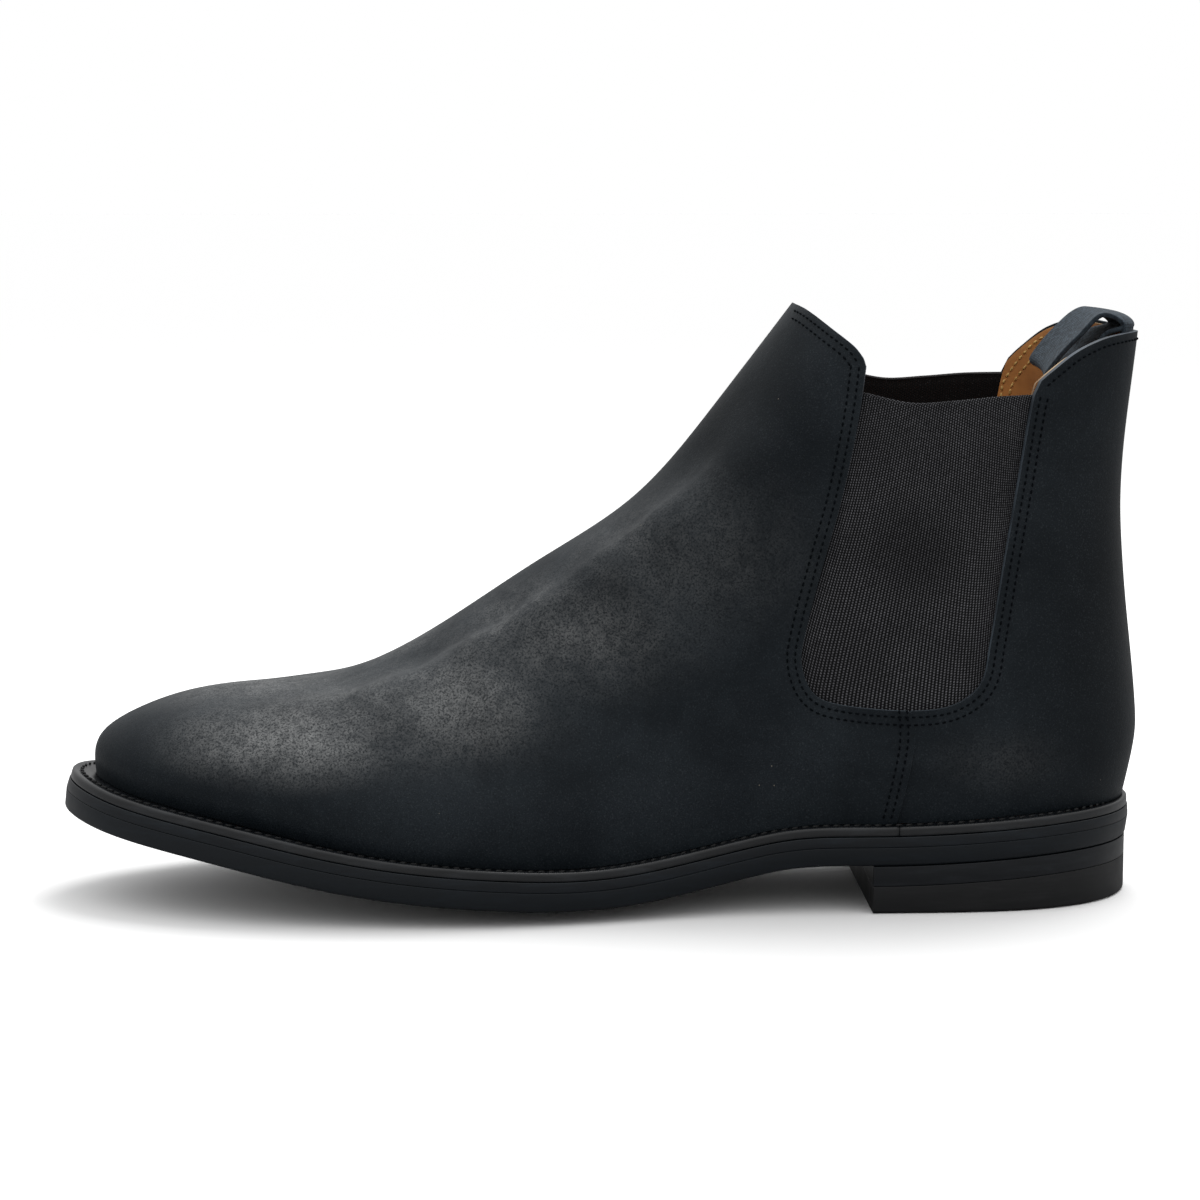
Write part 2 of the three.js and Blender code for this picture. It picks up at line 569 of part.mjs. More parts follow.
function addPullLoop() {
  const [shiftX, shiftZ] = [152.5 * (SX - 1), 159.6 * (SZ - 1)];
  const rounding = (LOOP_WIDTH / SY) ** 2 * SX - DRAWN.loop ** 2;
  const inwards = rounding / (8 * BACK_RADIUS);
  const centre = LOOP_LINE.map(([x, z], i) =>
    new THREE.Vector3(x + shiftX - (i > 4 ? inwards : 0), 0, z + shiftZ),
  );
  const curve = new THREE.CatmullRomCurve3(centre, true);
  const steps = 40;
  const side = (offset) =>
    curve.getSpacedPoints(steps).slice(0, -1).map((point, i) => {
      const tangent = curve.getTangentAt(i / steps);
      return new THREE.Vector2(point.x - offset * tangent.z, point.z + offset * tangent.x);
    });
  const shape = new THREE.Shape(side(-LOOP_THICK / 2));
  shape.holes.push(new THREE.Path(side(LOOP_THICK / 2)));
  const geometry = new THREE.ExtrudeGeometry(shape, { depth: LOOP_WIDTH, bevelEnabled: false });
  geometry.rotateX(Math.PI / 2);
  geometry.translate(0, LOOP_WIDTH / 2, 0);
  addPiece("pull_loop", toSolid(geometry), "webbing");
}

addLeather();
addLinings();
addCoreLayer();
addInsole();
addWeltLayer();
addSoles();
addPullLoop();

export default root;
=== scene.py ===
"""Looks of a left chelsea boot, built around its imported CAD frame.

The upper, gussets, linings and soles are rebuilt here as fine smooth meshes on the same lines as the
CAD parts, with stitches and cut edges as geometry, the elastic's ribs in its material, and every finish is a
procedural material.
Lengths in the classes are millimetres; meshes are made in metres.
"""

import logging
import math
from dataclasses import dataclass
from enum import Enum
from typing import Callable, Sequence

import bmesh
import bpy
import numpy as np
from mathutils import Matrix, Vector


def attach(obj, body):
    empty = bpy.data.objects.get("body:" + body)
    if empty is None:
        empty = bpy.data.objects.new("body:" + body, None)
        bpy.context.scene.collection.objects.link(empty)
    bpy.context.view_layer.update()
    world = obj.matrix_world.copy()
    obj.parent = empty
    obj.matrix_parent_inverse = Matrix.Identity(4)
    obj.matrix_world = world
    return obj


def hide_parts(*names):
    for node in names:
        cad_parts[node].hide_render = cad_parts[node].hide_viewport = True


logging.basicConfig(level=logging.INFO, format="%(message)s")
LOG = logging.getLogger("chelsea_boot")

MM = 0.001
Points = Sequence[tuple[float, float]]
Place = Callable[[np.ndarray, np.ndarray], np.ndarray]
Colour = tuple[float, float, float, float]
Socket = bpy.types.NodeSocket
Material = bpy.types.Material
BMesh = bmesh.types.BMesh

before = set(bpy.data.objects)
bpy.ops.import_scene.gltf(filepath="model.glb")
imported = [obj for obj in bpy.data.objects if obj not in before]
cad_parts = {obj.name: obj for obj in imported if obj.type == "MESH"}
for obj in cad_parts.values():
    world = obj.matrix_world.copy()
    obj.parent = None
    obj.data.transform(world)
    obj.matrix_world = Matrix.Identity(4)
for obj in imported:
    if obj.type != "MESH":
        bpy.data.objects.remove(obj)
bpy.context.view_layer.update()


class Side(Enum):
    """The two sides of a left boot: the outer side faces -Y, the inner side +Y."""

    LATERAL = -1
    MEDIAL = 1

    @property
    def label(self) -> str:
        """Word for this side in the names of nodes."""
        return self.name.lower()


class Body(Enum):
    """The CAD bodies that pieces ride on."""

    BOOT = "boot"
    LOOP = "loop"


# ---------------------------------------------------------------- curves and surfaces


def smoothstep(x: np.ndarray, low: float, high: float) -> np.ndarray:
    """Smooth step from 0 at low to 1 at high."""
    t = np.clip((np.asarray(x, float) - low) / (high - low), 0, 1)
    return t * t * (3 - 2 * t)


def spline_poles(values: np.ndarray, closed: bool) -> np.ndarray:
    """Poles of the uniform cubic B-spline through values.

    Args:
        values: Points to pass through, one per row.
        closed: Whether the curve joins its own start.

    Returns:
        The poles, shaped like values.
    """
    count = len(values)
    matrix = np.zeros((count, count))
    for i in range(count):
        if not closed and i in (0, count - 1):
            matrix[i, i] = 1
            continue
        for step, weight in ((-1, 1 / 6), (0, 4 / 6), (1, 1 / 6)):
            matrix[i, (i + step) % count] += weight
    return np.linalg.solve(matrix, np.asarray(values, float))


def spline_weights(f: np.ndarray) -> list[np.ndarray]:
    """Weights of the four poles around a cell, f from 0 to 1 across it."""
    return [
        (1 - f) ** 3 / 6,
        (3 * f**3 - 6 * f**2 + 4) / 6,
        (-3 * f**3 + 3 * f**2 + 3 * f + 1) / 6,
        f**3 / 6,
    ]


def catmull_rom(points: Points, count: int) -> np.ndarray:
    """Evenly stepped points of an open uniform Catmull-Rom curve through points.

    Args:
        points: The points of the curve.
        count: How many points to return.

    Returns:
        Array of count rows.
    """
    p = np.asarray(points, float)
    t = np.linspace(0, len(p) - 1, count)
    cell = np.clip(np.floor(t).astype(int), 0, len(p) - 2)
    f = (t - cell)[:, None]
    p0, p1 = p[np.maximum(cell - 1, 0)], p[cell]
    p2, p3 = p[cell + 1], p[np.minimum(cell + 2, len(p) - 1)]
    v0, v1 = (p2 - p0) / 2, (p3 - p1) / 2
    cubic = (2 * p1 - 2 * p2 + v0 + v1) * f**3 + (3 * p2 - 3 * p1 - 2 * v0 - v1) * f**2
    return cubic + v0 * f + p1


def lengths(points: np.ndarray) -> np.ndarray:
    """Length of a polyline up to each of its points."""
    return np.concatenate([[0], np.cumsum(np.linalg.norm(np.diff(points, axis=0), axis=1))])


def along(at: np.ndarray, marks: np.ndarray, points: np.ndarray) -> np.ndarray:
    """Points of a polyline at the places at, where its corners are at the places marks."""
    return np.stack([np.interp(at, marks, points[:, k]) for k in range(points.shape[1])], -1)


def resample(points: np.ndarray, count: int) -> np.ndarray:
    """The same polyline with count points evenly spaced along it."""
    marks = lengths(points)
    return along(np.linspace(0, marks[-1], count), marks, points)


def shifted(points: np.ndarray, distance: float) -> np.ndarray:
    """A plane polyline moved sideways, to the left of its direction."""
    tangent = np.gradient(points, axis=0)
    tangent /= np.linalg.norm(tangent, axis=1)[:, None]
    return points + distance * np.stack([-tangent[:, 1], tangent[:, 0]], 1)


class SoleLines:
    """Plan outline of the sole and height of the welt along the boot."""

    SEAT = [
        (-153, 37.3), (-136, 33.2), (-118, 30.1), (-98, 26.6), (-74, 21.6), (-50, 17.9),
        (-25, 15.9), (0, 15.9), (25, 19.4), (46, 23.4), (62, 24.7), (84, 24.7), (110, 25.8),
        (132, 27), (153, 27.4),
    ]
    PLAN = [
        (-150.6, 0, 0), (-147.4, 12.6, 12.6), (-137.4, 25.8, 25.8), (-121, 37, 37.8),
        (-98, 46.2, 47.8), (-72, 50.8, 52), (-45, 52.5, 50.8), (-20, 50.8, 46), (2, 46.5, 40),
        (26, 41, 35.5), (52, 38.4, 34.6), (82, 38, 35.6), (110, 36.8, 36), (131, 31, 31),
        (146, 18.5, 18.5), (152, 0, 0),
    ]
    DIP, DIP_AT, DIP_REACH = 4.1, -32.0, 58.0
    HALF_WIDTH = 52.25
    WAIST_END = 55.0
    TABLE = 3000

    def __init__(self) -> None:
        """Prepare the outline's poles and a table of the seat line."""
        lateral = [(x, -y) for x, y, _ in self.PLAN]
        medial = [(x, y) for x, _, y in self.PLAN[1:-1]][::-1]
        loop = np.array(lateral + medial, float)
        self.count = len(loop)
        self.poles = spline_poles(loop, True)
        seat = np.array(self.SEAT, float)
        poles = spline_poles(seat, False)
        padded = np.vstack([2 * poles[0] - poles[1], poles, 2 * poles[-1] - poles[-2]])
        t = np.linspace(0, len(seat) - 1, self.TABLE)
        cell = np.clip(np.floor(t).astype(int), 0, len(seat) - 2)
        weights = spline_weights(t - cell)
        self.seat = sum(w[:, None] * padded[cell + k] for k, w in enumerate(weights))

    def _outline(self, t: np.ndarray) -> np.ndarray:
        """Points of the plain outline."""
        at = np.asarray(t, float) * self.count
        cell = np.floor(at).astype(int)
        weights = spline_weights(at - cell)
        return sum(
            w[..., None] * self.poles[(cell + k - 1) % self.count] for k, w in enumerate(weights)
        )

    def outline(self, t: np.ndarray, inset: float | np.ndarray = 0.0) -> np.ndarray:
        """Points of the sole outline moved inwards.

        Args:
            t: 0 at the toe, over the lateral side to 0.5 at the heel, back to 1.
            inset: Distance inwards.

        Returns:
            Array with x and y last.
        """
        step = 1e-3
        tangent = self._outline(t + step) - self._outline(t - step)
        tangent /= np.linalg.norm(tangent, axis=-1)[..., None]
        inwards = np.stack([-tangent[..., 1], tangent[..., 0]], -1)
        return self._outline(t) + inwards * np.asarray(inset)[..., None]

    def seat_height(self, x: np.ndarray, y: np.ndarray) -> np.ndarray:
        """Height of the top of the welt at a plan position."""
        dip = self.DIP * np.exp(-(((x - self.DIP_AT) / self.DIP_REACH) ** 2))
        return np.interp(x, self.seat[:, 0], self.seat[:, 1]) - dip * (1 - (y / self.HALF_WIDTH) ** 2)

    def under(self, plan: np.ndarray, depth: np.ndarray) -> np.ndarray:
        """Points under the welt's top, square to the sole line in the forepart.

        Args:
            plan: x and y of each point's foot on the welt's top.
            depth: Depth under it.

        Returns:
            The points.
        """
        x, y = plan[..., 0], plan[..., 1]
        ahead, behind = (np.interp(x + step, self.seat[:, 0], self.seat[:, 1]) for step in (1, -1))
        slope = (ahead - behind) / 2
        lean = smoothstep(-x, -self.WAIST_END, 0)
        return np.stack([x + slope * lean * depth, y, self.seat_height(x, y) - depth], -1)


class UpperSurface:
    """The outer skin of the upper: a bicubic surface through level lines, feather edge to collar."""

    SEAT_GAP = 0.05
    LEVELS = [
        ((-143.6, 0), (150.2, 0), (1, 1.5, 2, 6, 1.5, 0),
         ((-126, 27, 0), (-87, 42.4, 0), (-38, 46.5, 0), (26, 36, 0), (86, 33.5, 0), (134, 25, 0))),
        ((-143.5, 42.8), (153.2, 42), (1, 1, 2, 6, 1, 0),
         ((-127, 29, 40.5), (-88, 45.8, 34), (-38, 49.8, 28), (26, 37.6, 31), (86, 35.6, 35),
          (134.5, 27, 37))),
        ((-137.6, 49.5), (153.6, 52), (0, -0.5, 1, 4, 0.5, 0),
         ((-120, 26, 50), (-83, 42, 45), (-34, 45.6, 41), (28, 36.6, 43), (86.5, 35.8, 47),
          (134.5, 27.2, 49))),
        ((-123, 55.7), (152.1, 67), (0, -0.5, 0, 2, 0, 0),
         ((-108, 22, 56), (-74, 34.5, 55), (-28, 38.6, 57), (31, 34.4, 58), (87, 35.2, 61),
          (134, 26.6, 64))),
        ((-104, 59.6), (150.2, 83), (0, 0, 0, 1, 0, 0),
         ((-86, 19, 59), (-57, 27.5, 64.5), (-18, 32, 73), (35, 32.6, 75), (88, 34.4, 78),
          (133, 25.8, 80))),
        ((-78, 61.8), (148.8, 98), (0, 0, 0, 0, 0, 0),
         ((-61, 17, 64.6), (-38, 23.6, 74.5), (-5, 28.4, 87), (40, 31.4, 92), (89, 33.8, 94),
          (132, 25, 96))),
        ((-49, 74.4), (148.1, 112), (0, 0, 0, 0, 0, 0),
         ((-34, 16.8, 78.4), (-13, 22.4, 90), (14, 27.4, 102), (47, 30.8, 108), (90, 33.4, 110),
          (131.5, 24.4, 112))),
        ((-19, 93.8), (148.7, 127), (0, 0, 0, 0, 0, 0),
         ((-6, 16, 97.4), (11, 21.6, 107.6), (32, 27, 118), (56, 30.6, 123), (92, 33.2, 124.6),
          (131.3, 23.8, 126.5))),
        ((9, 112.4), (150.1, 141), (0, 0, 0, 0, 0, 0),
         ((19, 14.6, 116.2), (31, 21, 124.5), (46, 26.8, 132), (65, 30.8, 136.5), (94, 33.2, 138),
          (131.7, 23.4, 140))),
        ((32, 138.4), (151.6, 154), (0, 0, 0, 0, 0, 0),
         ((38.4, 12.8, 140), (47, 20.2, 144), (58.5, 26.6, 148), (74, 31, 150.5),
          (97.5, 33.2, 151.5), (132.3, 22.8, 153.5))),
        ((56.2, 170), (153.2, 170), (0, 0, 0, 0, 0, 0),
         ((59, 12, 170), (65, 19.6, 170), (73, 26.4, 170), (85, 31.2, 170), (102, 33.2, 170),
          (133.3, 22.2, 170))),
    ]

    def __init__(self, sole: SoleLines) -> None:
        """Fit the poles.

        Args:
            sole: Lines of the sole, which the feather edge sits on.
        """
        self.sole = sole
        rows = [spline_poles(self._loop(i), True) for i in range(len(self.LEVELS))]
        poles = spline_poles(np.array(rows).reshape(len(rows), -1), False)
        poles = np.vstack([2 * poles[0] - poles[1], poles, 2 * poles[-1] - poles[-2]])
        self.top = len(rows) - 1
        self.count = len(rows[0])
        self.poles = poles.reshape(len(poles), self.count, 3)
        self._table()

    def _loop(self, index: int) -> np.ndarray:
        """The points of one level, from the front over the lateral side."""
        front, back, slim, side = self.LEVELS[index]
        lateral = [(x, -y, z) for x, y, z in side]
        medial = [(x, y - s, z) for (x, y, z), s in zip(side, slim)][::-1]
        loop = np.array([(front[0], 0, front[1]), *lateral, (back[0], 0, back[1]), *medial], float)
        if index == 0:
            loop[:, 2] = self.sole.seat_height(loop[:, 0], loop[:, 1]) + self.SEAT_GAP
        return loop

    def _plain(self, u: np.ndarray, v: np.ndarray) -> np.ndarray:
        """The surface before its feather edge is laid on the welt."""
        u, v = np.broadcast_arrays(np.asarray(u, float), np.asarray(v, float))
        across = u * self.count
        column = np.floor(across).astype(int)
        row = np.clip(np.floor(v).astype(int), 0, self.top - 1)
        wu, wv = spline_weights(across - column), spline_weights(v - row)
        total = np.zeros(u.shape + (3,))
        for j in range(4):
            for k in range(4):
                pole = self.poles[row + j, (column + k - 1) % self.count]
                total += (wv[j] * wu[k])[..., None] * pole
        return total

    def at(self, u: np.ndarray, v: np.ndarray) -> np.ndarray:
        """Points of the outer skin, u round the boot and v from 0 to top."""
        point = self._plain(u, v)
        edge = self._plain(u, np.zeros_like(point[..., 0]))
        error = self.sole.seat_height(edge[..., 0], edge[..., 1]) + self.SEAT_GAP - edge[..., 2]
        near = np.clip(1 - np.asarray(v, float), 0, 1)
        point[..., 2] += error * near**2 * (3 - 2 * near)
        return point

    def normal(self, u: np.ndarray, v: np.ndarray) -> np.ndarray:
        """Unit normals, pointing out of the boot."""
        step = 1e-2
        along = self.at(u + step / self.count, v) - self.at(u - step / self.count, v)
        up = self.at(u, v + step) - self.at(u, v - step)
        out = np.cross(along, up)
        return out / np.linalg.norm(out, axis=-1)[..., None]

    def under(self, u: np.ndarray, v: np.ndarray, depth: float | np.ndarray) -> np.ndarray:
        """Points at a depth under the skin."""
        return self.at(u, v) - self.normal(u, v) * np.asarray(depth, float)[..., None]

    def _table(self) -> None:
        """Store a coarse table of each side, to start searches from."""
        u, v = np.meshgrid(np.linspace(0.02, 0.48, 120), np.linspace(0, self.top, 160))
        self.seeds = {
            Side.LATERAL: (u.ravel(), v.ravel(), self.at(u, v).reshape(-1, 3)[:, [0, 2]]),
            Side.MEDIAL: (1 - u.ravel(), v.ravel(), self.at(1 - u, v).reshape(-1, 3)[:, [0, 2]]),
        }

    def locate(self, line: np.ndarray, side: Side) -> np.ndarray:
        """Where points of the side view lie on the surface.

        Args:
            line: Array of x and z, in millimetres.
            side: The side of the boot.

        Returns:
            Array of u and v.
        """
        seed_u, seed_v, seeds = self.seeds[side]
        flat = np.asarray(line, float).reshape(-1, 2)
        nearest = [int(np.argmin(((seeds - p) ** 2).sum(1))) for p in flat]
        u, v = seed_u[nearest].copy(), seed_v[nearest].copy()
        low, high = (0.0, 0.5) if side is Side.LATERAL else (0.5, 1.0)
        step = 1e-4
        for _ in range(8):
            here = self.at(u, v)[:, [0, 2]]
            du = (self.at(u + step, v)[:, [0, 2]] - here) / step
            dv = (self.at(u, v + step)[:, [0, 2]] - here) / step
            miss = flat - here
            det = du[:, 0] * dv[:, 1] - du[:, 1] * dv[:, 0]
            det = np.where(np.abs(det) < 1e-3, 1e-3, det)
            move_u = (miss[:, 0] * dv[:, 1] - miss[:, 1] * dv[:, 0]) / det
            move_v = (du[:, 0] * miss[:, 1] - du[:, 1] * miss[:, 0]) / det
            u = np.clip(u + np.clip(move_u, -0.02, 0.02), low, high)
            v = np.clip(v + np.clip(move_v, -0.5, 0.5), 0, self.top + 0.5)
        return np.stack([u, v], 1).reshape(np.asarray(line).shape)


# ---------------------------------------------------------------- meshes


def grid_mesh(name: str, steps: tuple[int, int], place: Place, wrap: tuple[bool, bool] = (False, False),
              flip: bool = False) -> bpy.types.Object:
    """A sheet of quads whose corners are placed by a function.

    Args:
        name: Name of the piece.
        steps: Number of quads in s and in t.
        place: Function from s and t, both from 0 to 1, to points in millimetres.
        wrap: Whether the sheet joins itself in s and in t.
        flip: Whether to turn the faces round.

    Returns:
        The new object, linked to the scene.
    """
    bm = bmesh.new()
    bmesh.ops.create_grid(bm, x_segments=steps[0], y_segments=steps[1], size=0.5)
    flat = np.array([vertex.co for vertex in bm.verts])
    s, t = flat[:, 0] + 0.5, flat[:, 1] + 0.5
    points = place(s, t) * MM
    uv_layer = bm.loops.layers.uv.new("lay")
    for face in bm.faces:
        for loop in face.loops:
            i = loop.vert.index
            loop[uv_layer].uv = (s[i], t[i])
    for vertex, point in zip(bm.verts, points):
        vertex.co = point
    if any(wrap):
        bmesh.ops.remove_doubles(bm, verts=bm.verts, dist=2e-6)
    if flip:
        bmesh.ops.reverse_faces(bm, faces=bm.faces)
    return new_object(name, bm)


def new_object(name: str, bm: BMesh, smooth: bool = True) -> bpy.types.Object:
    """Turn a bmesh into a linked object at the origin."""
    for face in bm.faces:
        face.smooth = smooth
    mesh = bpy.data.meshes.new(name)
    bm.to_mesh(mesh)
    bm.free()
    obj = bpy.data.objects.new(name, mesh)
    bpy.context.scene.collection.objects.link(obj)
    return obj


def round_edges(obj: bpy.types.Object, radius: float, angle: float = 50) -> None:
    """Round the edges sharper than an angle in degrees to a radius in millimetres."""
    bevel = obj.modifiers.new("rounded_edges", "BEVEL")
    bevel.width, bevel.segments = radius * MM, 2
    bevel.limit_method, bevel.angle_limit = "ANGLE", math.radians(angle)


def thicken(obj: bpy.types.Object, thickness: float, edge_round: float, offset: float = -1,
            rim: int = 0, inner: int = 0) -> None:
    """Give a sheet its thickness and round its cut edges.

    Args:
        obj: The sheet, whose faces point outwards.
        thickness: Thickness in millimetres.
        edge_round: Radius of the cut edges in millimetres, or 0.
        offset: -1 to grow inwards, 0 to grow to both sides.
        rim: Offset of the material of the cut edge.
        inner: Offset of the material of the inner face.
    """
    solid = obj.modifiers.new("thickness", "SOLIDIFY")
    solid.thickness, solid.offset = thickness * MM, offset
    solid.use_quality_normals = True
    solid.material_offset_rim, solid.material_offset = rim, inner
    if edge_round:
        round_edges(obj, edge_round)


def close_ends(obj: bpy.types.Object) -> None:
    """Fill the open ends of a shell with flat faces and turn every face outwards."""
    bm = bmesh.new()
    bm.from_mesh(obj.data)
    open_edges = [edge for edge in bm.edges if edge.is_boundary]
    if open_edges:
        bmesh.ops.holes_fill(bm, edges=open_edges, sides=0)
    bmesh.ops.recalc_face_normals(bm, faces=bm.faces)
    for face in bm.faces:
        face.smooth = len(face.verts) <= 4
    bm.to_mesh(obj.data)
    bm.free()


def finish_piece(obj: bpy.types.Object, materials: Sequence[Material], body: Body,
                 nodes: Sequence[str] = ()) -> bpy.types.Object:
    """Dress a piece and tie it to the frame.

    Args:
        obj: The piece.
        materials: Its materials in order.
        body: The body it rides on.
        nodes: The CAD nodes it stands for.

    Returns:
        The piece.
    """
    if nodes:
        obj.name = f"{nodes[0]}_look"
    for material in materials:
        obj.data.materials.append(material)
    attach(obj, body.value)
    if nodes:
        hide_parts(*nodes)
    LOG.info("%s: %d faces", obj.name, len(obj.data.polygons))
    return obj


# ---------------------------------------------------------------- finishes


class Board:
    """A procedural material under construction, with short calls for the nodes it is made of."""

    def __init__(self, name: str) -> None:
        """Start a material with a Principled shader."""
        self.material = bpy.data.materials.new(f"{name}_finish")
        self.material.use_nodes = True
        self.tree = self.material.node_tree
        self.shader = self.tree.nodes["Principled BSDF"]

    def node(self, kind: str, **settings: object) -> bpy.types.Node:
        """A new node with its properties set."""
        made = self.tree.nodes.new(kind)
        for key, value in settings.items():
            setattr(made, key, value)
        return made

    def feed(self, socket: Socket, value: object) -> None:
        """Set a socket to a constant or link it to another socket."""
        if isinstance(value, Socket):
            self.tree.links.new(value, socket)
        else:
            socket.default_value = value

    def place(self, stretch: tuple[float, float, float] = (1, 1, 1)) -> Socket:
        """Object coordinates, scaled along each axis."""
        coords = self.node("ShaderNodeTexCoord").outputs["Object"]
        if stretch == (1, 1, 1):
            return coords
        mapping = self.node("ShaderNodeMapping")
        mapping.inputs["Scale"].default_value = stretch
        self.feed(mapping.inputs["Vector"], coords)
        return mapping.outputs[0]

    def lay(self) -> Sequence[Socket]:
        """The two coordinates of the piece's own UV map."""
        parts = self.node("ShaderNodeSeparateXYZ")
        self.feed(parts.inputs[0], self.node("ShaderNodeUVMap", uv_map="lay").outputs[0])
        return parts.outputs["X"], parts.outputs["Y"]

    def noise(self, vector: Socket, scale: float, detail: float = 3.0,
              rough: float = 0.55, distortion: float = 0.0) -> Socket:
        """Noise from 0 to 1.

        Args:
            vector: Coordinates.
            scale: Size of the pattern, in repeats a metre.
            detail: Number of finer layers.
            rough: Weight of the finer layers.
            distortion: How far the pattern is pulled about.

        Returns:
            The noise.
        """
        made = self.node("ShaderNodeTexNoise")
        self.feed(made.inputs["Vector"], vector)
        for key, value in (("Scale", scale), ("Detail", detail), ("Roughness", rough),
                           ("Distortion", distortion)):
            made.inputs[key].default_value = value
        return made.outputs["Fac"]

    def cells(self, vector: Socket, scale: float) -> Socket:
        """Distance to scattered points."""
        made = self.node("ShaderNodeTexVoronoi")
        self.feed(made.inputs["Vector"], vector)
        made.inputs["Scale"].default_value = scale
        return made.outputs["Distance"]

    def math(self, operation: str, first: object, second: object = 0.0) -> Socket:
        """A Math node."""
        made = self.node("ShaderNodeMath", operation=operation)
        self.feed(made.inputs[0], first)
        self.feed(made.inputs[1], second)
        return made.outputs[0]

    def times(self, first: object, second: object) -> Socket:
        """Product of two values."""
        return self.math("MULTIPLY", first, second)

    def wave(self, value: Socket, factor: float) -> Socket:
        """Size of the sine of value times factor."""
        return self.math("ABSOLUTE", self.math("SINE", self.times(value, factor)))

    def band(self, value: Socket, low: float, high: float, to_low: float = 0.0,
             to_high: float = 1.0) -> Socket:
        """A value smoothly remapped.

        Args:
            value: The value.
            low: Where the step starts.
            high: Where the step ends.
            to_low: Result at low and before it.
            to_high: Result at high and past it.

        Returns:
            The remapped value.
        """
        made = self.node("ShaderNodeMapRange", interpolation_type="SMOOTHSTEP")
        self.feed(made.inputs["Value"], value)
        for key, number in (("From Min", low), ("From Max", high), ("To Min", to_low),
                            ("To Max", to_high)):
            made.inputs[key].default_value = number
        return made.outputs["Result"]

    def patch(self, centre: tuple[float, float, float],
              reach: tuple[float, float, float]) -> Socket:
        """A soft spot, 1 at its centre and 0 at its reach.

        Args:
            centre: Its centre, in millimetres.
            reach: Its half sizes, in millimetres.

        Returns:
            How far inside the spot a point is, from 0 to 1.
        """
        mapping = self.node("ShaderNodeMapping")
        scale = [1 / (r * MM) for r in reach]
        mapping.inputs["Scale"].default_value = scale
        mapping.inputs["Location"].default_value = [-c * MM * s for c, s in zip(centre, scale)]
        self.feed(mapping.inputs["Vector"], self.node("ShaderNodeTexCoord").outputs["Object"])
        length = self.node("ShaderNodeVectorMath", operation="LENGTH")
        self.feed(length.inputs[0], mapping.outputs[0])
        return self.band(length.outputs["Value"], 1.0, 0.0)

    def blend(self, amount: object, first: object, second: object) -> Socket:
        """Two colours blended."""
        made = self.node("ShaderNodeMix", data_type="RGBA")
        sockets = [s for s in made.inputs if s.type == "RGBA"]
        self.feed(made.inputs[0], amount)
        self.feed(sockets[0], first)
        self.feed(sockets[1], second)
        return next(s for s in made.outputs if s.type == "RGBA")

    def bump(self, height: Socket, strength: float, distance_mm: float,
             under: Socket | None = None) -> Socket:
        """A bumped normal.

        Args:
            height: Height of the relief, from 0 to 1.
            strength: How much of it shows.
            distance_mm: Its full height, in millimetres.
            under: The normal under it.

        Returns:
            The normal.
        """
        made = self.node("ShaderNodeBump")
        made.inputs["Strength"].default_value = strength
        made.inputs["Distance"].default_value = distance_mm * MM
        self.feed(made.inputs["Height"], height)
        if under is not None:
            self.feed(made.inputs["Normal"], under)
        return made.outputs[0]

    def done(self, colour: object, roughness: object,
             normal: Socket | None = None, **constants: object) -> Material:
        """Wire the shader up.

        Args:
            colour: Base colour, constant or socket.
            roughness: Roughness, constant or socket.
            normal: Bumped normal.
            constants: Other sockets of the shader, by name with _ for a space.

        Returns:
            The material.
        """
        self.feed(self.shader.inputs["Base Color"], colour)
        self.feed(self.shader.inputs["Roughness"], roughness)
        if normal is not None:
            self.feed(self.shader.inputs["Normal"], normal)
        for key, value in constants.items():
            self.shader.inputs[key.replace("_", " ")].default_value = value
        return self.material


def colour(red: float, green: float, blue: float) -> Colour:
    """A linear colour from 0..255 display values."""
    def linear(value: float) -> float:
        """One channel."""
        c = value / 255
        return c / 12.92 if c <= 0.04045 else ((c + 0.055) / 1.055) ** 2.4

    return linear(red), linear(green), linear(blue), 1.0


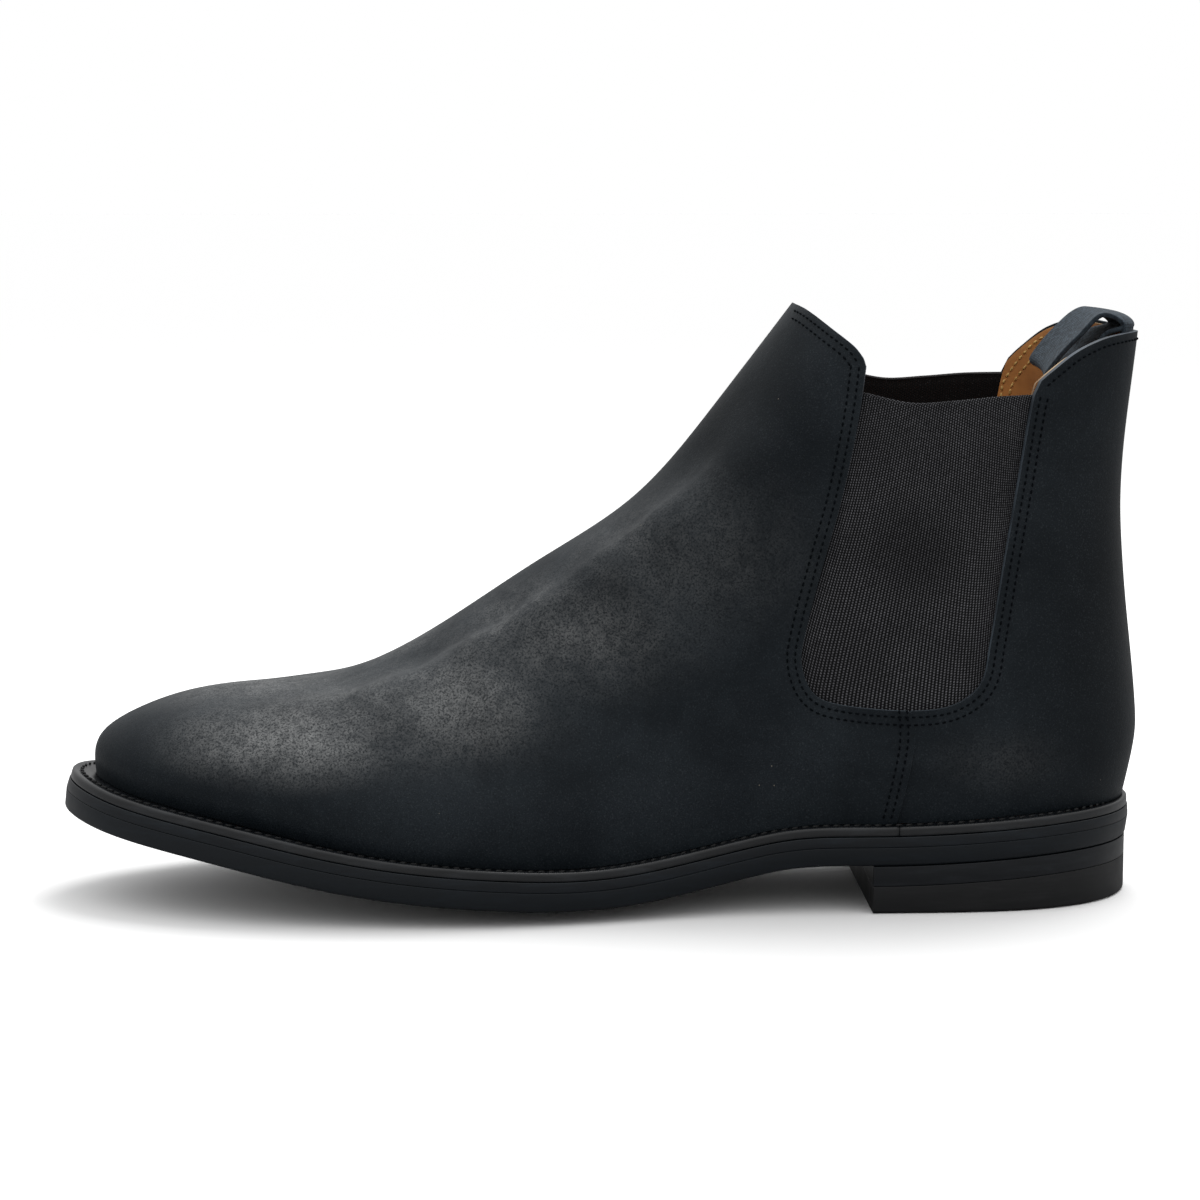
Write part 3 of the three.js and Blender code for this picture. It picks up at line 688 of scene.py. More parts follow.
@dataclass(frozen=True)
class WaxedLeather:
    """Rough-out leather full of dark wax, burnished grey where worn, the grey partly painted highlight on
    the toe top and flanks, with painted shade on the back and the front of the shaft.
    """

    dark: Colour = colour(17, 23, 28)
    mid: Colour = colour(32, 38, 43)
    # grey of the burnish, also used as painted highlight
    burnish_and_highlight_grey: Colour = colour(128, 129, 129)
    frost: Colour = colour(92, 98, 102)
    pit: Colour = colour(11, 14, 17)
    # darker tone of the painted shade on the back of the boot and the front of the shaft
    deep: Colour = colour(9, 14, 18)
    roughness: float = 0.52
    # where the leather is burnished grey by wear; the patches on the toe top, the vamp and the flanks are
    # partly painted highlight where light falls
    burnish_and_highlight_patches: tuple = (
        ((-88, -38, 50), (50, 44, 16), 0.95), ((-40, -36, 60), (34, 50, 22), 0.80),
        ((-64, -30, 58), (74, 60, 24), 0.52), ((-100, 0, 62), (52, 36, 14), 0.75),
        ((-60, 0, 72), (60, 22, 16), 0.50), ((-16, -26, 78), (60, 44, 26), 0.52),
        ((16, -20, 100), (60, 40, 36), 0.30), ((-88, 38, 50), (50, 44, 16), 0.85),
        ((-40, 36, 60), (36, 50, 22), 0.75), ((-64, 30, 58), (74, 60, 24), 0.5),
        ((-16, 26, 78), (60, 44, 26), 0.46), ((16, 20, 100), (60, 40, 36), 0.28),
        ((46, 0, 150), (40, 20, 50), 0.06), ((150, 0, 80), (12, 26, 70), 0.10),
        ((112, -38, 42), (32, 18, 13), 0.15), ((112, 38, 42), (32, 18, 13), 0.15),
    )

    def build(self) -> Material:
        """Make the material."""
        b = Board("waxed_leather")
        place = b.place()
        cloud = b.noise(place, 30, 5, 0.62, 0.3)
        base = b.blend(b.band(cloud, 0.3, 0.72), self.dark, self.mid)
        # painted shade: the leather is blended darker over the back of the boot and a little less at the
        # front of the shaft
        painted_shade_mask = b.math("MAXIMUM", b.patch((138, 0, 84), (46, 70, 92)),
                       b.times(b.patch((30, 0, 136), (60, 70, 60)), 0.8))
        base = b.blend(painted_shade_mask, base, self.deep)
        nap = b.noise(place, 2300, 2, 0.6)
        grit = b.noise(place, 1750, 3, 0.75)
        mottle = b.noise(place, 300, 5, 0.75, 0.4)
        total = None
        for centre, reach, weight in self.burnish_and_highlight_patches:
            spot = b.times(b.patch(centre, reach), weight)
            total = spot if total is None else b.math("MAXIMUM", total, spot)
        broken = b.band(b.noise(place, 55, 6, 0.7, 0.6), 0.25, 0.6, 0.35, 1.0)
        flecks = b.band(grit, 0.40, 0.58, 0.30, 1.0)
        # burnish, partly painted highlight
        burnish_and_highlight = b.times(b.times(total, broken), b.band(mottle, 0.3, 0.62, 0.5, 1.0))
        tone = b.blend(b.times(burnish_and_highlight, flecks), base, self.burnish_and_highlight_grey)
        dots = b.times(b.band(nap, 0.52, 0.7, 0.0, 0.16), b.band(cloud, 0.2, 0.7, 0.35, 1.0))
        frosted = b.blend(dots, tone, self.frost)
        pits = b.band(grit, 0.46, 0.34, 0.0, 0.55)
        speckled = b.blend(pits, frosted, self.pit)
        scratch = b.noise(b.place((1, 1, 6)), 120, 4, 0.8, 1.4)
        lined = b.blend(b.band(scratch, 0.70, 0.82, 0.0, 0.12), speckled, self.frost)
        dust = b.times(b.band(b.cells(place, 260), 0.055, 0.03, 0.0, 0.6),
                      b.band(b.noise(place, 70, 2), 0.56, 0.66))
        dusted = b.blend(dust, lined, colour(150, 142, 128))
        normal = b.bump(b.noise(place, 60, 4, 0.6), 0.3, 0.9)
        normal = b.bump(grit, 0.4, 0.16, normal)
        normal = b.bump(nap, 0.35, 0.08, normal)
        rough = b.math("ADD", b.band(grit, 0.3, 0.7, -0.05, 0.06),
                       b.band(burnish_and_highlight, 0.0, 0.8, self.roughness, self.roughness + 0.06))
        return b.done(dusted, rough, normal, Specular_IOR_Level=0.12)


@dataclass(frozen=True)
class PlainLeather:
    """Smooth or fleshy leather with pores and cloudy tone."""

    name: str
    low: Colour
    high: Colour
    roughness: float = 0.55
    grain: float = 0.2

    def build(self) -> Material:
        """Make the material."""
        b = Board(self.name)
        place = b.place()
        cloud = b.noise(place, 45, 5, 0.6, 0.4)
        pores = b.band(b.cells(place, 900), 0.0, 0.25)
        tone = b.blend(b.band(cloud, 0.3, 0.7), self.low, self.high)
        spotted = b.blend(b.band(pores, 0.0, 1.0, 0.22, 0.0), tone, colour(40, 24, 12))
        normal = b.bump(pores, self.grain, 0.08, b.bump(cloud, 0.2, 0.5))
        rough = b.band(cloud, 0.2, 0.8, self.roughness - 0.06, self.roughness + 0.08)
        return b.done(spotted, rough, normal)


@dataclass(frozen=True)
class GussetElastic:
    """Woven elastic: fine vertical ribs crossed by short picks, with a few light specks and painted shade
    across its middle.
    """

    name: str = "gusset_elastic"
    ribs: int = 76
    picks: int = 120
    valley: Colour = colour(5, 5, 7)
    thread: Colour = colour(112, 112, 116)

    def build(self) -> Material:
        """Make the material."""
        b = Board(self.name)
        u, v = b.lay()
        wobble = b.noise(b.place(), 240, 2)
        across = b.times(u, self.ribs)
        half = b.times(b.math("ROUND", across), 0.5)
        upwards = b.math("ADD", b.times(v, self.picks), half)
        upwards = b.math("ADD", upwards, b.times(wobble, 0.35))
        rib = b.math("SUBTRACT", 1.0, b.wave(across, math.pi))
        pick = b.wave(upwards, math.pi)
        knit = b.times(b.band(rib, 0.05, 0.75), b.band(pick, 0.2, 0.95))
        # painted shade: the middle of the elastic is darkened to half, the top and the bottom stay light
        painted_mid_shade = b.band(b.patch((86, 0, 100), (28, 90, 26)), 0.0, 0.8, 1.0, 0.5)
        cloud = b.times(b.band(b.noise(b.place(), 36, 3), 0.35, 0.65, 0.75, 1.0), painted_mid_shade)
        cloud = b.times(cloud,
                       b.band(b.noise(b.place(), 1500, 2), 0.3, 0.7, 0.55, 1.1))
        tone = b.blend(b.times(knit, cloud), self.valley, self.thread)
        fluff = b.band(b.noise(b.place(), 2600, 2), 0.62, 0.75, 0.0, 0.3)
        fuzzy = b.blend(fluff, tone, colour(96, 96, 98))
        return b.done(fuzzy, 0.86, b.bump(knit, 0.55, 0.14), Specular_IOR_Level=0.15,
                      Sheen_Weight=0.03, Sheen_Roughness=0.5)


@dataclass(frozen=True)
class Webbing:
    """Tightly woven cotton webbing, brushed grey."""

    name: str = "loop_webbing"
    low: Colour = colour(24, 31, 38)
    high: Colour = colour(66, 78, 88)

    def build(self) -> Material:
        """Make the material."""
        b = Board(self.name)
        u, v = b.lay()
        weave = b.times(b.wave(v, 32 * math.pi), b.wave(u, 120 * math.pi))
        fibre = b.noise(b.place(), 900, 4, 0.8)
        tone = b.blend(b.band(fibre, 0.32, 0.68), self.low, self.high)
        shaded = b.blend(b.band(weave, 0.0, 0.5, 0.5, 0.0), tone, colour(18, 24, 30))
        return b.done(shaded, 0.85, b.bump(weave, 0.4, 0.12, b.bump(fibre, 0.4, 0.15)),
                      Specular_IOR_Level=0.2, Sheen_Weight=0.05, Sheen_Roughness=0.5)


@dataclass(frozen=True)
class SoleEdge:
    """Inked and ironed edge of leather and rubber layers: satin black with faint run marks."""

    name: str
    tone: Colour
    worn: Colour
    roughness: float = 0.42
    streak: float = 1.0
    gloss: float = 0.3

    def build(self) -> Material:
        """Make the material."""
        b = Board(self.name)
        streaks = b.noise(b.place((0.12, 0.12, 1.0)), 520, 5, 0.7, 0.4)
        cloud = b.noise(b.place(), 55, 4, 0.6)
        worn = b.times(b.band(streaks, 0.4, 0.75), b.band(cloud, 0.3, 0.7, 0.3, 1.0))
        tone = b.blend(b.times(worn, 0.6 * self.streak), self.tone, self.worn)
        nick = b.band(b.cells(b.place((0.5, 0.5, 1.4)), 130), 0.07, 0.03)
        nicked = b.times(nick, b.band(b.noise(b.place(), 38, 2), 0.62, 0.72))
        marked = b.blend(b.times(nicked, 0.7), tone, colour(132, 126, 116))
        rough = b.band(cloud, 0.25, 0.75, self.roughness - 0.07, self.roughness + 0.1)
        normal = b.bump(streaks, 0.18 * self.streak, 0.12, b.bump(cloud, 0.15, 0.4))
        return b.done(marked, rough, normal, Specular_IOR_Level=self.gloss)


@dataclass(frozen=True)
class Thread:
    """Twisted sewing thread."""

    name: str
    low: Colour
    high: Colour
    roughness: float = 0.6
    gloss: float = 0.4

    def build(self) -> Material:
        """Make the material."""
        b = Board(self.name)
        ply = b.noise(b.place((1, 1, 2)), 1400, 3, 0.7)
        tone = b.blend(b.band(ply, 0.3, 0.7), self.low, self.high)
        return b.done(tone, self.roughness, b.bump(ply, 0.4, 0.1), Specular_IOR_Level=self.gloss)


@dataclass(frozen=True)
class Granular:
    """Cork, board or cast metal: grains of two tones."""

    name: str
    low: Colour
    high: Colour
    grain: float = 320.0
    roughness: float = 0.8
    metal: float = 0.0

    def build(self) -> Material:
        """Make the material."""
        b = Board(self.name)
        grain = b.noise(b.place(), self.grain, 4, 0.7)
        tone = b.blend(b.band(grain, 0.3, 0.7), self.low, self.high)
        rough = b.band(grain, 0.2, 0.8, self.roughness - 0.08, self.roughness + 0.08)
        return b.done(tone, rough, b.bump(grain, 0.3, 0.2), Metallic=self.metal)


@dataclass(frozen=True)
class Kit:
    """Every finish on the boot, made once."""

    leather: Material
    cut_cream: Material
    # cut edge of the outer leather, lighter than its face, partly painted highlight where the edges catch
    # light
    cut_dark: Material
    lining: Material
    elastic: Material
    elastic_back: Material
    webbing: Material
    welt: Material
    midsole: Material
    outsole: Material
    lift: Material
    top_piece: Material
    dark_thread: Material
    gold_thread: Material
    welt_thread: Material
    insole: Material
    board: Material
    cork: Material
    steel: Material

    @classmethod
    def make(cls) -> "Kit":
        """Build all the finishes."""
        return cls(
            leather=WaxedLeather().build(),
            cut_cream=PlainLeather("cut_cream", colour(120, 92, 62), colour(196, 172, 136), 0.75).build(),
            # cut edge of the outer leather, partly painted highlight along the window and the seams
            cut_dark=PlainLeather("cut_dark", colour(34, 40, 47), colour(74, 84, 94), 0.7).build(),
            lining=PlainLeather("tan_lining", colour(150, 92, 38), colour(196, 132, 66), 0.5).build(),
            elastic=GussetElastic().build(),
            elastic_back=GussetElastic("elastic_back", valley=colour(8, 7, 8),
                                       thread=colour(30, 20, 18)).build(),
            webbing=Webbing().build(),
            welt=SoleEdge("welt_leather", colour(8, 11, 15), colour(46, 50, 55), 0.34, 1.0, 0.5).build(),
            midsole=SoleEdge("midsole_edge", colour(7, 13, 19), colour(30, 39, 47), 0.42).build(),
            outsole=SoleEdge("sole_rubber", colour(8, 15, 21), colour(27, 36, 44), 0.48, 0.6).build(),
            lift=SoleEdge("heel_lift_edge", colour(10, 14, 19), colour(36, 40, 45), 0.4).build(),
            top_piece=SoleEdge("top_piece_rubber", colour(18, 19, 21), colour(42, 42, 44), 0.55,
                               0.7).build(),
            dark_thread=Thread("dark_thread", colour(2, 4, 6), colour(14, 18, 23), 0.85, 0.05).build(),
            gold_thread=Thread("gold_thread", colour(150, 104, 44), colour(232, 196, 122), 0.5).build(),
            welt_thread=Thread("welt_thread", colour(10, 11, 13), colour(38, 39, 40), 0.6, 0.2).build(),
            insole=PlainLeather("insole_leather", colour(166, 122, 74), colour(202, 160, 110), 0.65).build(),
            board=Granular("stiffener_board", colour(150, 132, 104), colour(196, 178, 150)).build(),
            cork=Granular("cork", colour(96, 66, 36), colour(160, 116, 70), 260, 0.9).build(),
            steel=Granular("shank_steel", colour(120, 122, 126), colour(176, 178, 182), 500, 0.35,
                           1.0).build(),
        )


# ---------------------------------------------------------------- the upper


@dataclass
class CuttingLines:
    """Edges that a layer of the upper is cut to, seen from the side, on one side of the boot."""

    skin: UpperSurface
    side: Side
    margin: float = 0.0
    medial_rise: float = 2.8

    WINDOW_FRONT = [(71.6, 151.5), (69.6, 137), (65.4, 116), (60.2, 97), (55.8, 80), (54.4, 70)]
    WINDOW_BOTTOM = [(57.8, 61.6), (66, 58.3), (85, 56.7), (97, 58.4), (104.4, 64.4)]
    WINDOW_BACK = [(107, 76), (110.3, 96), (114.4, 120), (117.4, 138), (118.6, 143.6)]
    FRONT_TAB = [(53.2, 168), (57, 166.2), (63, 161.4), (68.4, 157), (71, 153.6)]
    BACK_TAB = [(120.4, 147.2), (124, 150), (131, 154.8), (139, 158), (146, 159.2), (152, 159.6)]
    MEDIAL_SWELL = (0.2, 1.6, 3.0, 3.0, 1.7, 0)
    GUSSET_TOP = [(71.6, 144.4), (84, 141.6), (96, 142), (108, 143), (119, 143.4)]
    SIDE_SEAM = [(84.4, 58), (84.8, 48.4), (82.9, 37.2), (80, 24)]

    @property
    def rise(self) -> float:
        """How much higher the back of the window is than on the lateral side."""
        return self.medial_rise if self.side is Side.MEDIAL else 0.0

    def window(self, count: int = 600) -> np.ndarray:
        """The gusset window: down its front edge, along the bottom and up its back edge."""
        m = self.margin
        line = [(x - m, z) for x, z in self.WINDOW_FRONT]
        line += [(x, z - m) for x, z in self.WINDOW_BOTTOM]
        line += [(x + m, z + self.rise) for x, z in self.WINDOW_BACK]
        return catmull_rom(line, count)

    def front_tab(self, count: int = 200) -> np.ndarray:
        """The collar from the front of the boot to the window."""
        line = [(x - self.margin / 2, z - self.margin) for x, z in self.FRONT_TAB]
        curve = catmull_rom(line, count)
        column = self.skin.at(np.zeros(300), np.linspace(8, 10.4, 300))
        front = np.interp(curve[:, 1], column[:, 2], column[:, 0])
        kept = curve[curve[:, 0] > front + 0.02]
        corner = self.window(2)[:1]
        return np.vstack([kept, corner])

    def back_tab(self, count: int = 200) -> np.ndarray:
        """The collar from the back of the boot to the window."""
        swell = self.MEDIAL_SWELL if self.side is Side.MEDIAL else (0,) * 6
        line = [(x, z - self.margin + self.rise * (5 - i) / 5 + swell[i])
                for i, (x, z) in enumerate(self.BACK_TAB)]
        curve = catmull_rom(line, count)[::-1]
        column = self.skin.at(np.full(300, 0.5), np.linspace(8, 10.4, 300))
        back = np.interp(curve[:, 1], column[:, 2], column[:, 0])
        kept = curve[curve[:, 0] < back - 0.02]
        corner = self.window(2)[-1:]
        return np.vstack([kept, corner])

    def edge(self, is_front: bool, lap: float = 0.0) -> np.ndarray:
        """The panel's edge from the foot of the side seam up to the corner of the collar.

        Args:
            is_front: Front panel, or quarter.
            lap: How far the seam is moved backwards.

        Returns:
            Array of x and z.
        """
        seam = catmull_rom(self.SIDE_SEAM, 60)[::-1]
        seam[:, 0] += lap * smoothstep(seam[:, 1], 55, 47)
        window = self.window()
        window = window[::-1] if is_front else window
        meets = (window[:, 0] < seam[-1, 0]) if is_front else (window[:, 0] > seam[-1, 0])
        low = window[:, 1] < 75
        start = int(np.argmax(meets & low))
        seam = seam[seam[:, 1] < window[start, 1] - 0.15]
        return np.vstack([seam, window[start:]])


class HalfPanel:
    """Lays a rectangle over one half of a panel: p from the boot's centre line to the cut edge, q up."""

    def __init__(self, lines: CuttingLines, is_front: bool, lap: float = 0.0) -> None:
        """Locate the edges on the skin.

        Args:
            lines: The cutting lines.
            is_front: Front panel, or quarter.
            lap: How far the side seam is moved backwards.
        """
        skin, side = lines.skin, lines.side
        self.skin = skin
        self.centre = {(True, Side.LATERAL): 0.0, (True, Side.MEDIAL): 1.0}.get((is_front, side), 0.5)
        edge = skin.locate(resample(lines.edge(is_front, lap), 500), side)
        tab = lines.front_tab() if is_front else lines.back_tab()
        top = skin.locate(tab, side)
        self.turn = 1.0 if edge[0, 0] > self.centre else -1.0
        self.q = np.linspace(0, 1, len(edge))
        self.edge_a = np.abs(edge[:, 0] - self.centre)
        self.edge_v = edge[:, 1]
        order = np.argsort(np.abs(top[:, 0] - self.centre))
        self.top_a = np.abs(top[order, 0] - self.centre)
        self.top_v = top[order, 1]
        # on the centre line, the rows at the window's corner and half way up dip a little
        dips = ((0.21, 0.08), (0.44 if is_front else 0.40, 0.05))
        self.keys = [0, *(at for at, _ in dips), 1]
        levels = [np.interp(at, self.q, self.edge_v) - dip for at, dip in dips]
        self.centre_v = [0, *levels, float(self.top_v[0])]

    def to_skin(self, p: np.ndarray, q: np.ndarray) -> tuple[np.ndarray, np.ndarray]:
        """Surface coordinates of a point of the rectangle."""
        a = p * np.interp(q, self.q, self.edge_a)
        edge_v = np.interp(q, self.q, self.edge_v)
        middle = np.interp(q, self.keys, self.centre_v)
        v = middle + (edge_v - middle) * p**2
        a_top = p * self.edge_a[-1]
        plain = self.centre_v[-1] + (self.edge_v[-1] - self.centre_v[-1]) * p**2
        v = v + q**8 * (np.interp(a_top, self.top_a, self.top_v) - plain)
        return self.centre + self.turn * a, v


@dataclass(frozen=True)
class Layer:
    """One layer of the upper: where it is cut, how deep it lies, how thick it is, and its finish."""

    margin: float
    depth: float
    thickness: float
    slot: str
    finish: Sequence[Material]

    @property
    def is_outer(self) -> bool:
        """Whether it is the leather outside."""
        return self.depth == 0


@dataclass
class Upper:
    """Leather, linings, gussets and their stitching."""

    sole: SoleLines
    skin: UpperSurface
    kit: Kit
    leather: float = 1.6
    core_depth: float = 1.9
    core: float = 1.0
    lining_depth: float = 3.2
    lining: float = 0.8
    lining_setback: float = 0.8
    cut_round: float = 0.3
    seam_lift: float = 0.55
    seam_lap: float = 1.0
    seam_tuck: float = 1.5
    stitch_pitch: float = 1.95
    stitch_length: float = 1.3
    stitch_width: float = 0.6
    stitch_proud: float = 0.12
    stitch_rows: tuple[float, float] = (1.7, 3.9)
    tab_rows: tuple[float, float] = (1.9, 4.1)
    back_row: float = 2.2
    seam_rows: tuple[float, float] = (1.0, 3.2)
    lining_rows: tuple[float, float] = (1.3, 3.6)
    lining_stitch: tuple[float, float, float] = (2.1, 1.85, 0.8)
    gusset_tuck: float = 3.0
    gusset_hollow: float = 0.5
    gusset_hem: float = 0.22
    folds: tuple = (
        (-48, 62, 0.35, 26, 22, 0.45), (-18, 66, 0.6, 24, 24, 0.40), (14, 96, 0.75, 22, 22, 0.55),
        (36, 116, 0.8, 24, 22, 0.40), (130, 66, 1.45, 26, 24, 0.30),
    )

    def build(self) -> None:
        """Build and dress every layer."""
        kit = self.kit
        outer = Layer(0.0, 0.0, self.leather, "waxed_leather", (kit.leather, kit.cut_dark))
        inner = Layer(self.lining_setback, self.lining_depth, self.lining, "tan_lining",
                      (kit.lining, kit.cut_cream))
        self.front("front_panel", outer)
        for side in Side:
            self.quarter(f"quarter_{side.label}", outer, side)
        self.front("vamp_lining", inner)
        for side in Side:
            self.quarter(f"quarter_lining_{side.label}", inner, side)
            self.gusset(side)
        self.stitching()

    def wall_depth(self, depth: float, q: np.ndarray, p: np.ndarray) -> np.ndarray:
        """Depth of a layer, with a lining coming up to the leather at the collar's edge.

        Args:
            depth: Depth of the layer's outer face away from the collar.
            q: How far up the panel, from 0 to 1.
            p: How far from the boot's centre line to the cut edge, from 0 to 1.

        Returns:
            Depth at each point.
        """
        if depth < self.lining_depth:
            return np.full_like(q, depth)
        near = smoothstep(q, 0.9, 0.985) * (1 - smoothstep(p, 0.62, 0.9))
        return depth - (depth - self.leather - 0.06) * near

    def front(self, name: str, layer: Layer) -> None:
        """The panel over the toe, the instep and the front of the shaft.

        Args:
            name: The CAD node.
            layer: The layer it belongs to.
        """
        lap = self.seam_lap if layer.is_outer else 0.0
        halves = {side: HalfPanel(CuttingLines(self.skin, side, layer.margin), True, lap)
                  for side in Side}

        def place(s: np.ndarray, t: np.ndarray) -> np.ndarray:
            """Points of the panel's outer face, s from the medial to the lateral edge."""
            p = np.abs(1 - 2 * s)
            medial_u, medial_v = halves[Side.MEDIAL].to_skin(p, t)
            lateral_u, lateral_v = halves[Side.LATERAL].to_skin(p, t)
            on_medial = s < 0.5
            u = np.where(on_medial, medial_u, lateral_u)
            v = np.where(on_medial, medial_v, lateral_v)
            depth = self.wall_depth(layer.depth, t, p)
            if layer.is_outer:
                lift = self.seam_lift * smoothstep(p, 0.955, 0.985) * self.below_window(t)
                depth = depth - lift + self.creases(self.skin.at(u, v))
            return self.skin.under(u, v, depth)

        obj = grid_mesh(name, (156, 210) if layer.is_outer else (90, 110), place)
        thicken(obj, layer.thickness, self.cut_round, rim=1)
        finish_piece(obj, layer.finish, Body.BOOT, [name])

    def below_window(self, q: np.ndarray) -> np.ndarray:
        """1 along the foot of the side seam, fading to 0 before the window."""
        return 1 - smoothstep(q, 0.10, 0.19)

    def creases(self, point: np.ndarray) -> np.ndarray:
        """Depth of the soft folds that walking leaves over the ball and the ankle.

        Args:
            point: Points on the skin.

        Returns:
            Depth at each point.
        """
        x, y, z = point[:, 0], np.abs(point[:, 1]), point[:, 2]
        depth = np.zeros(len(x))
        for at_x, at_z, lean, gap, reach, size in self.folds:
            across = (x - at_x) * math.cos(lean) + (z - at_z) * math.sin(lean)
            aside = -(x - at_x) * math.sin(lean) + (z - at_z) * math.cos(lean)
            wave = np.cos(across * 2 * math.pi / gap)
            fade = np.exp(-((across / (1.1 * gap)) ** 2) - (aside / reach) ** 2)
            depth += size * wave * fade * smoothstep(y, 2, 16)
        return depth

    def quarter(self, name: str, layer: Layer, side: Side) -> None:
        """One quarter, from the back seam to the side seam and the window.

        Args:
            name: The CAD node.
            layer: The layer it belongs to.
            side: Side of the boot.
        """
        lap = -self.seam_tuck if layer.is_outer else 0.0
        half = HalfPanel(CuttingLines(self.skin, side, layer.margin), False, lap)

        def place(s: np.ndarray, t: np.ndarray) -> np.ndarray:
            """Points of the quarter's outer face, seen from outside from left to right."""
            p = 1 - s if side is Side.LATERAL else s
            u, v = half.to_skin(p, t)
            depth = self.wall_depth(layer.depth, t, p)
            if layer.is_outer:
                depth = depth + self.seam_lift * smoothstep(p, 0.94, 0.98) * self.below_window(t)
            return self.skin.under(u, v, depth)

        obj = grid_mesh(name, (100, 170) if layer.is_outer else (64, 90), place)
        thicken(obj, layer.thickness, self.cut_round, rim=1)
        finish_piece(obj, layer.finish, Body.BOOT, [name])

    def gusset(self, side: Side) -> None:
        """The elastic of one side, tucked under the leather round its window.

        Args:
            side: Side of the boot.
        """
        lines = CuttingLines(self.skin, side)
        window = lines.window()
        split_front = int(np.argmax(window[:, 1] < 70))
        split_back = len(window) - int(np.argmax(window[::-1, 1] < 76 + lines.rise)) - 1
        count, tuck = 200, (self.gusset_tuck, 0)
        outer = shifted(window, -self.gusset_tuck)
        left = resample(outer[:split_front][::-1], count)
        bottom = resample(outer[split_front:split_back], count)
        right = resample(outer[split_back:], count)
        top = catmull_rom([(x, z + lines.rise) for x, z in lines.GUSSET_TOP], count)
        top = resample(np.vstack([top[:1] - tuck, top, top[-1:] + tuck]), count)
        left = resample(np.vstack([left[left[:, 1] < top[0, 1]], top[:1]]), count)
        right = resample(np.vstack([right[right[:, 1] < top[-1, 1]], top[-1:]]), count)
        bottom[0], bottom[-1] = left[0], right[0]
        marks = np.linspace(0, 1, count)

        def place(s: np.ndarray, t: np.ndarray) -> np.ndarray:
            """Points of the elastic's outer face."""
            a = s if side is Side.LATERAL else 1 - s
            a1, t1 = a[:, None], t[:, None]
            flat = (1 - t1) * along(a, marks, bottom) + t1 * along(a, marks, top)
            flat += (1 - a1) * along(t, marks, left) + a1 * along(t, marks, right)
            flat -= (1 - a1) * ((1 - t1) * bottom[0] + t1 * top[0])
            flat -= a1 * ((1 - t1) * bottom[-1] + t1 * top[-1])
            uv = self.skin.locate(flat, side)
            hollow = self.gusset_hollow * np.sin(np.pi * a) * smoothstep(t, 0.55, 1.0)
            hem = self.gusset_hem * smoothstep(t, 0.968, 0.975) * (1 - smoothstep(t, 0.995, 1.0))
            return self.skin.under(uv[:, 0], uv[:, 1], self.core_depth + hollow - hem)

        name = f"elastic_{side.label}"
        obj = grid_mesh(name, (96, 140), place)
        thicken(obj, self.core, 0.25, rim=1, inner=1)
        finish_piece(obj, [self.kit.elastic, self.kit.elastic_back], Body.BOOT, [name])

    def row(self, bm: BMesh, line: np.ndarray, side: Side, lift: float = 0.0) -> None:
        """Sew a row of dark stitches along a line seen from the side.

        Args:
            bm: Mesh to add to.
            line: x and z of the row.
            side: Side of the boot.
            lift: Height of the leather over the skin.
        """
        uv = self.skin.locate(resample(line, 160), side)
        depth = np.full(len(uv), -self.stitch_proud - lift)
        self.sew(bm, uv, depth, self.stitch_pitch, self.stitch_length, self.stitch_width)

    def lining_row(self, bm: BMesh, half: HalfPanel, offset: float,
                   reach: tuple[float, float]) -> None:
        """Sew a row round the corner of a lining, beside its cut edges.

        Args:
            bm: Mesh to add to.
            half: The lining's layout.
            offset: Distance from the edge.
            reach: Lengths of the layout's two directions.
        """
        dp, dq = offset / reach[0], offset / reach[1]
        line = [(0.04, 1 - dq), (0.35, 1 - dq), (0.66, 1 - dq), (0.88 - dp, 1 - 1.15 * dq),
                (1 - 1.15 * dp, 0.972 - dq), (1 - dp, 0.93 - dq), (1 - dp, 0.8), (1 - dp, 0.62)]
        p, q = catmull_rom(line, 200).T
        u, v = half.to_skin(p, q)
        depth = self.wall_depth(self.lining_depth, q, p) + self.lining + 0.03
        self.sew(bm, np.stack([u, v], 1), depth, *self.lining_stitch)

    def sew(self, bm: BMesh, uv: np.ndarray, depth: np.ndarray, pitch: float,
            length: float, width: float) -> None:
        """Sew a row of stitches along a line on the skin.

        Args:
            bm: Mesh to add to.
            uv: Points of the line.
            depth: Depth under the skin of the middle of the thread.
            pitch: Distance between stitches.
            length: Length of a stitch.
            width: Width of a stitch.
        """
        path = self.skin.under(uv[:, 0], uv[:, 1], depth)
        marks = lengths(path)
        count = max(2, int(marks[-1] / pitch))
        at = (np.arange(count) + 0.5) * marks[-1] / count
        u, v = np.interp(at, marks, uv[:, 0]), np.interp(at, marks, uv[:, 1])
        points, normals = self.skin.under(u, v, np.interp(at, marks, depth)), self.skin.normal(u, v)
        ways = along(at + 0.4, marks, path) - along(at - 0.4, marks, path)
        sewn = bmesh.new()
        for point, normal, way in zip(points, normals, ways):
            add_stitch(sewn, point, way, normal, length, width)
        append(bm, sewn)

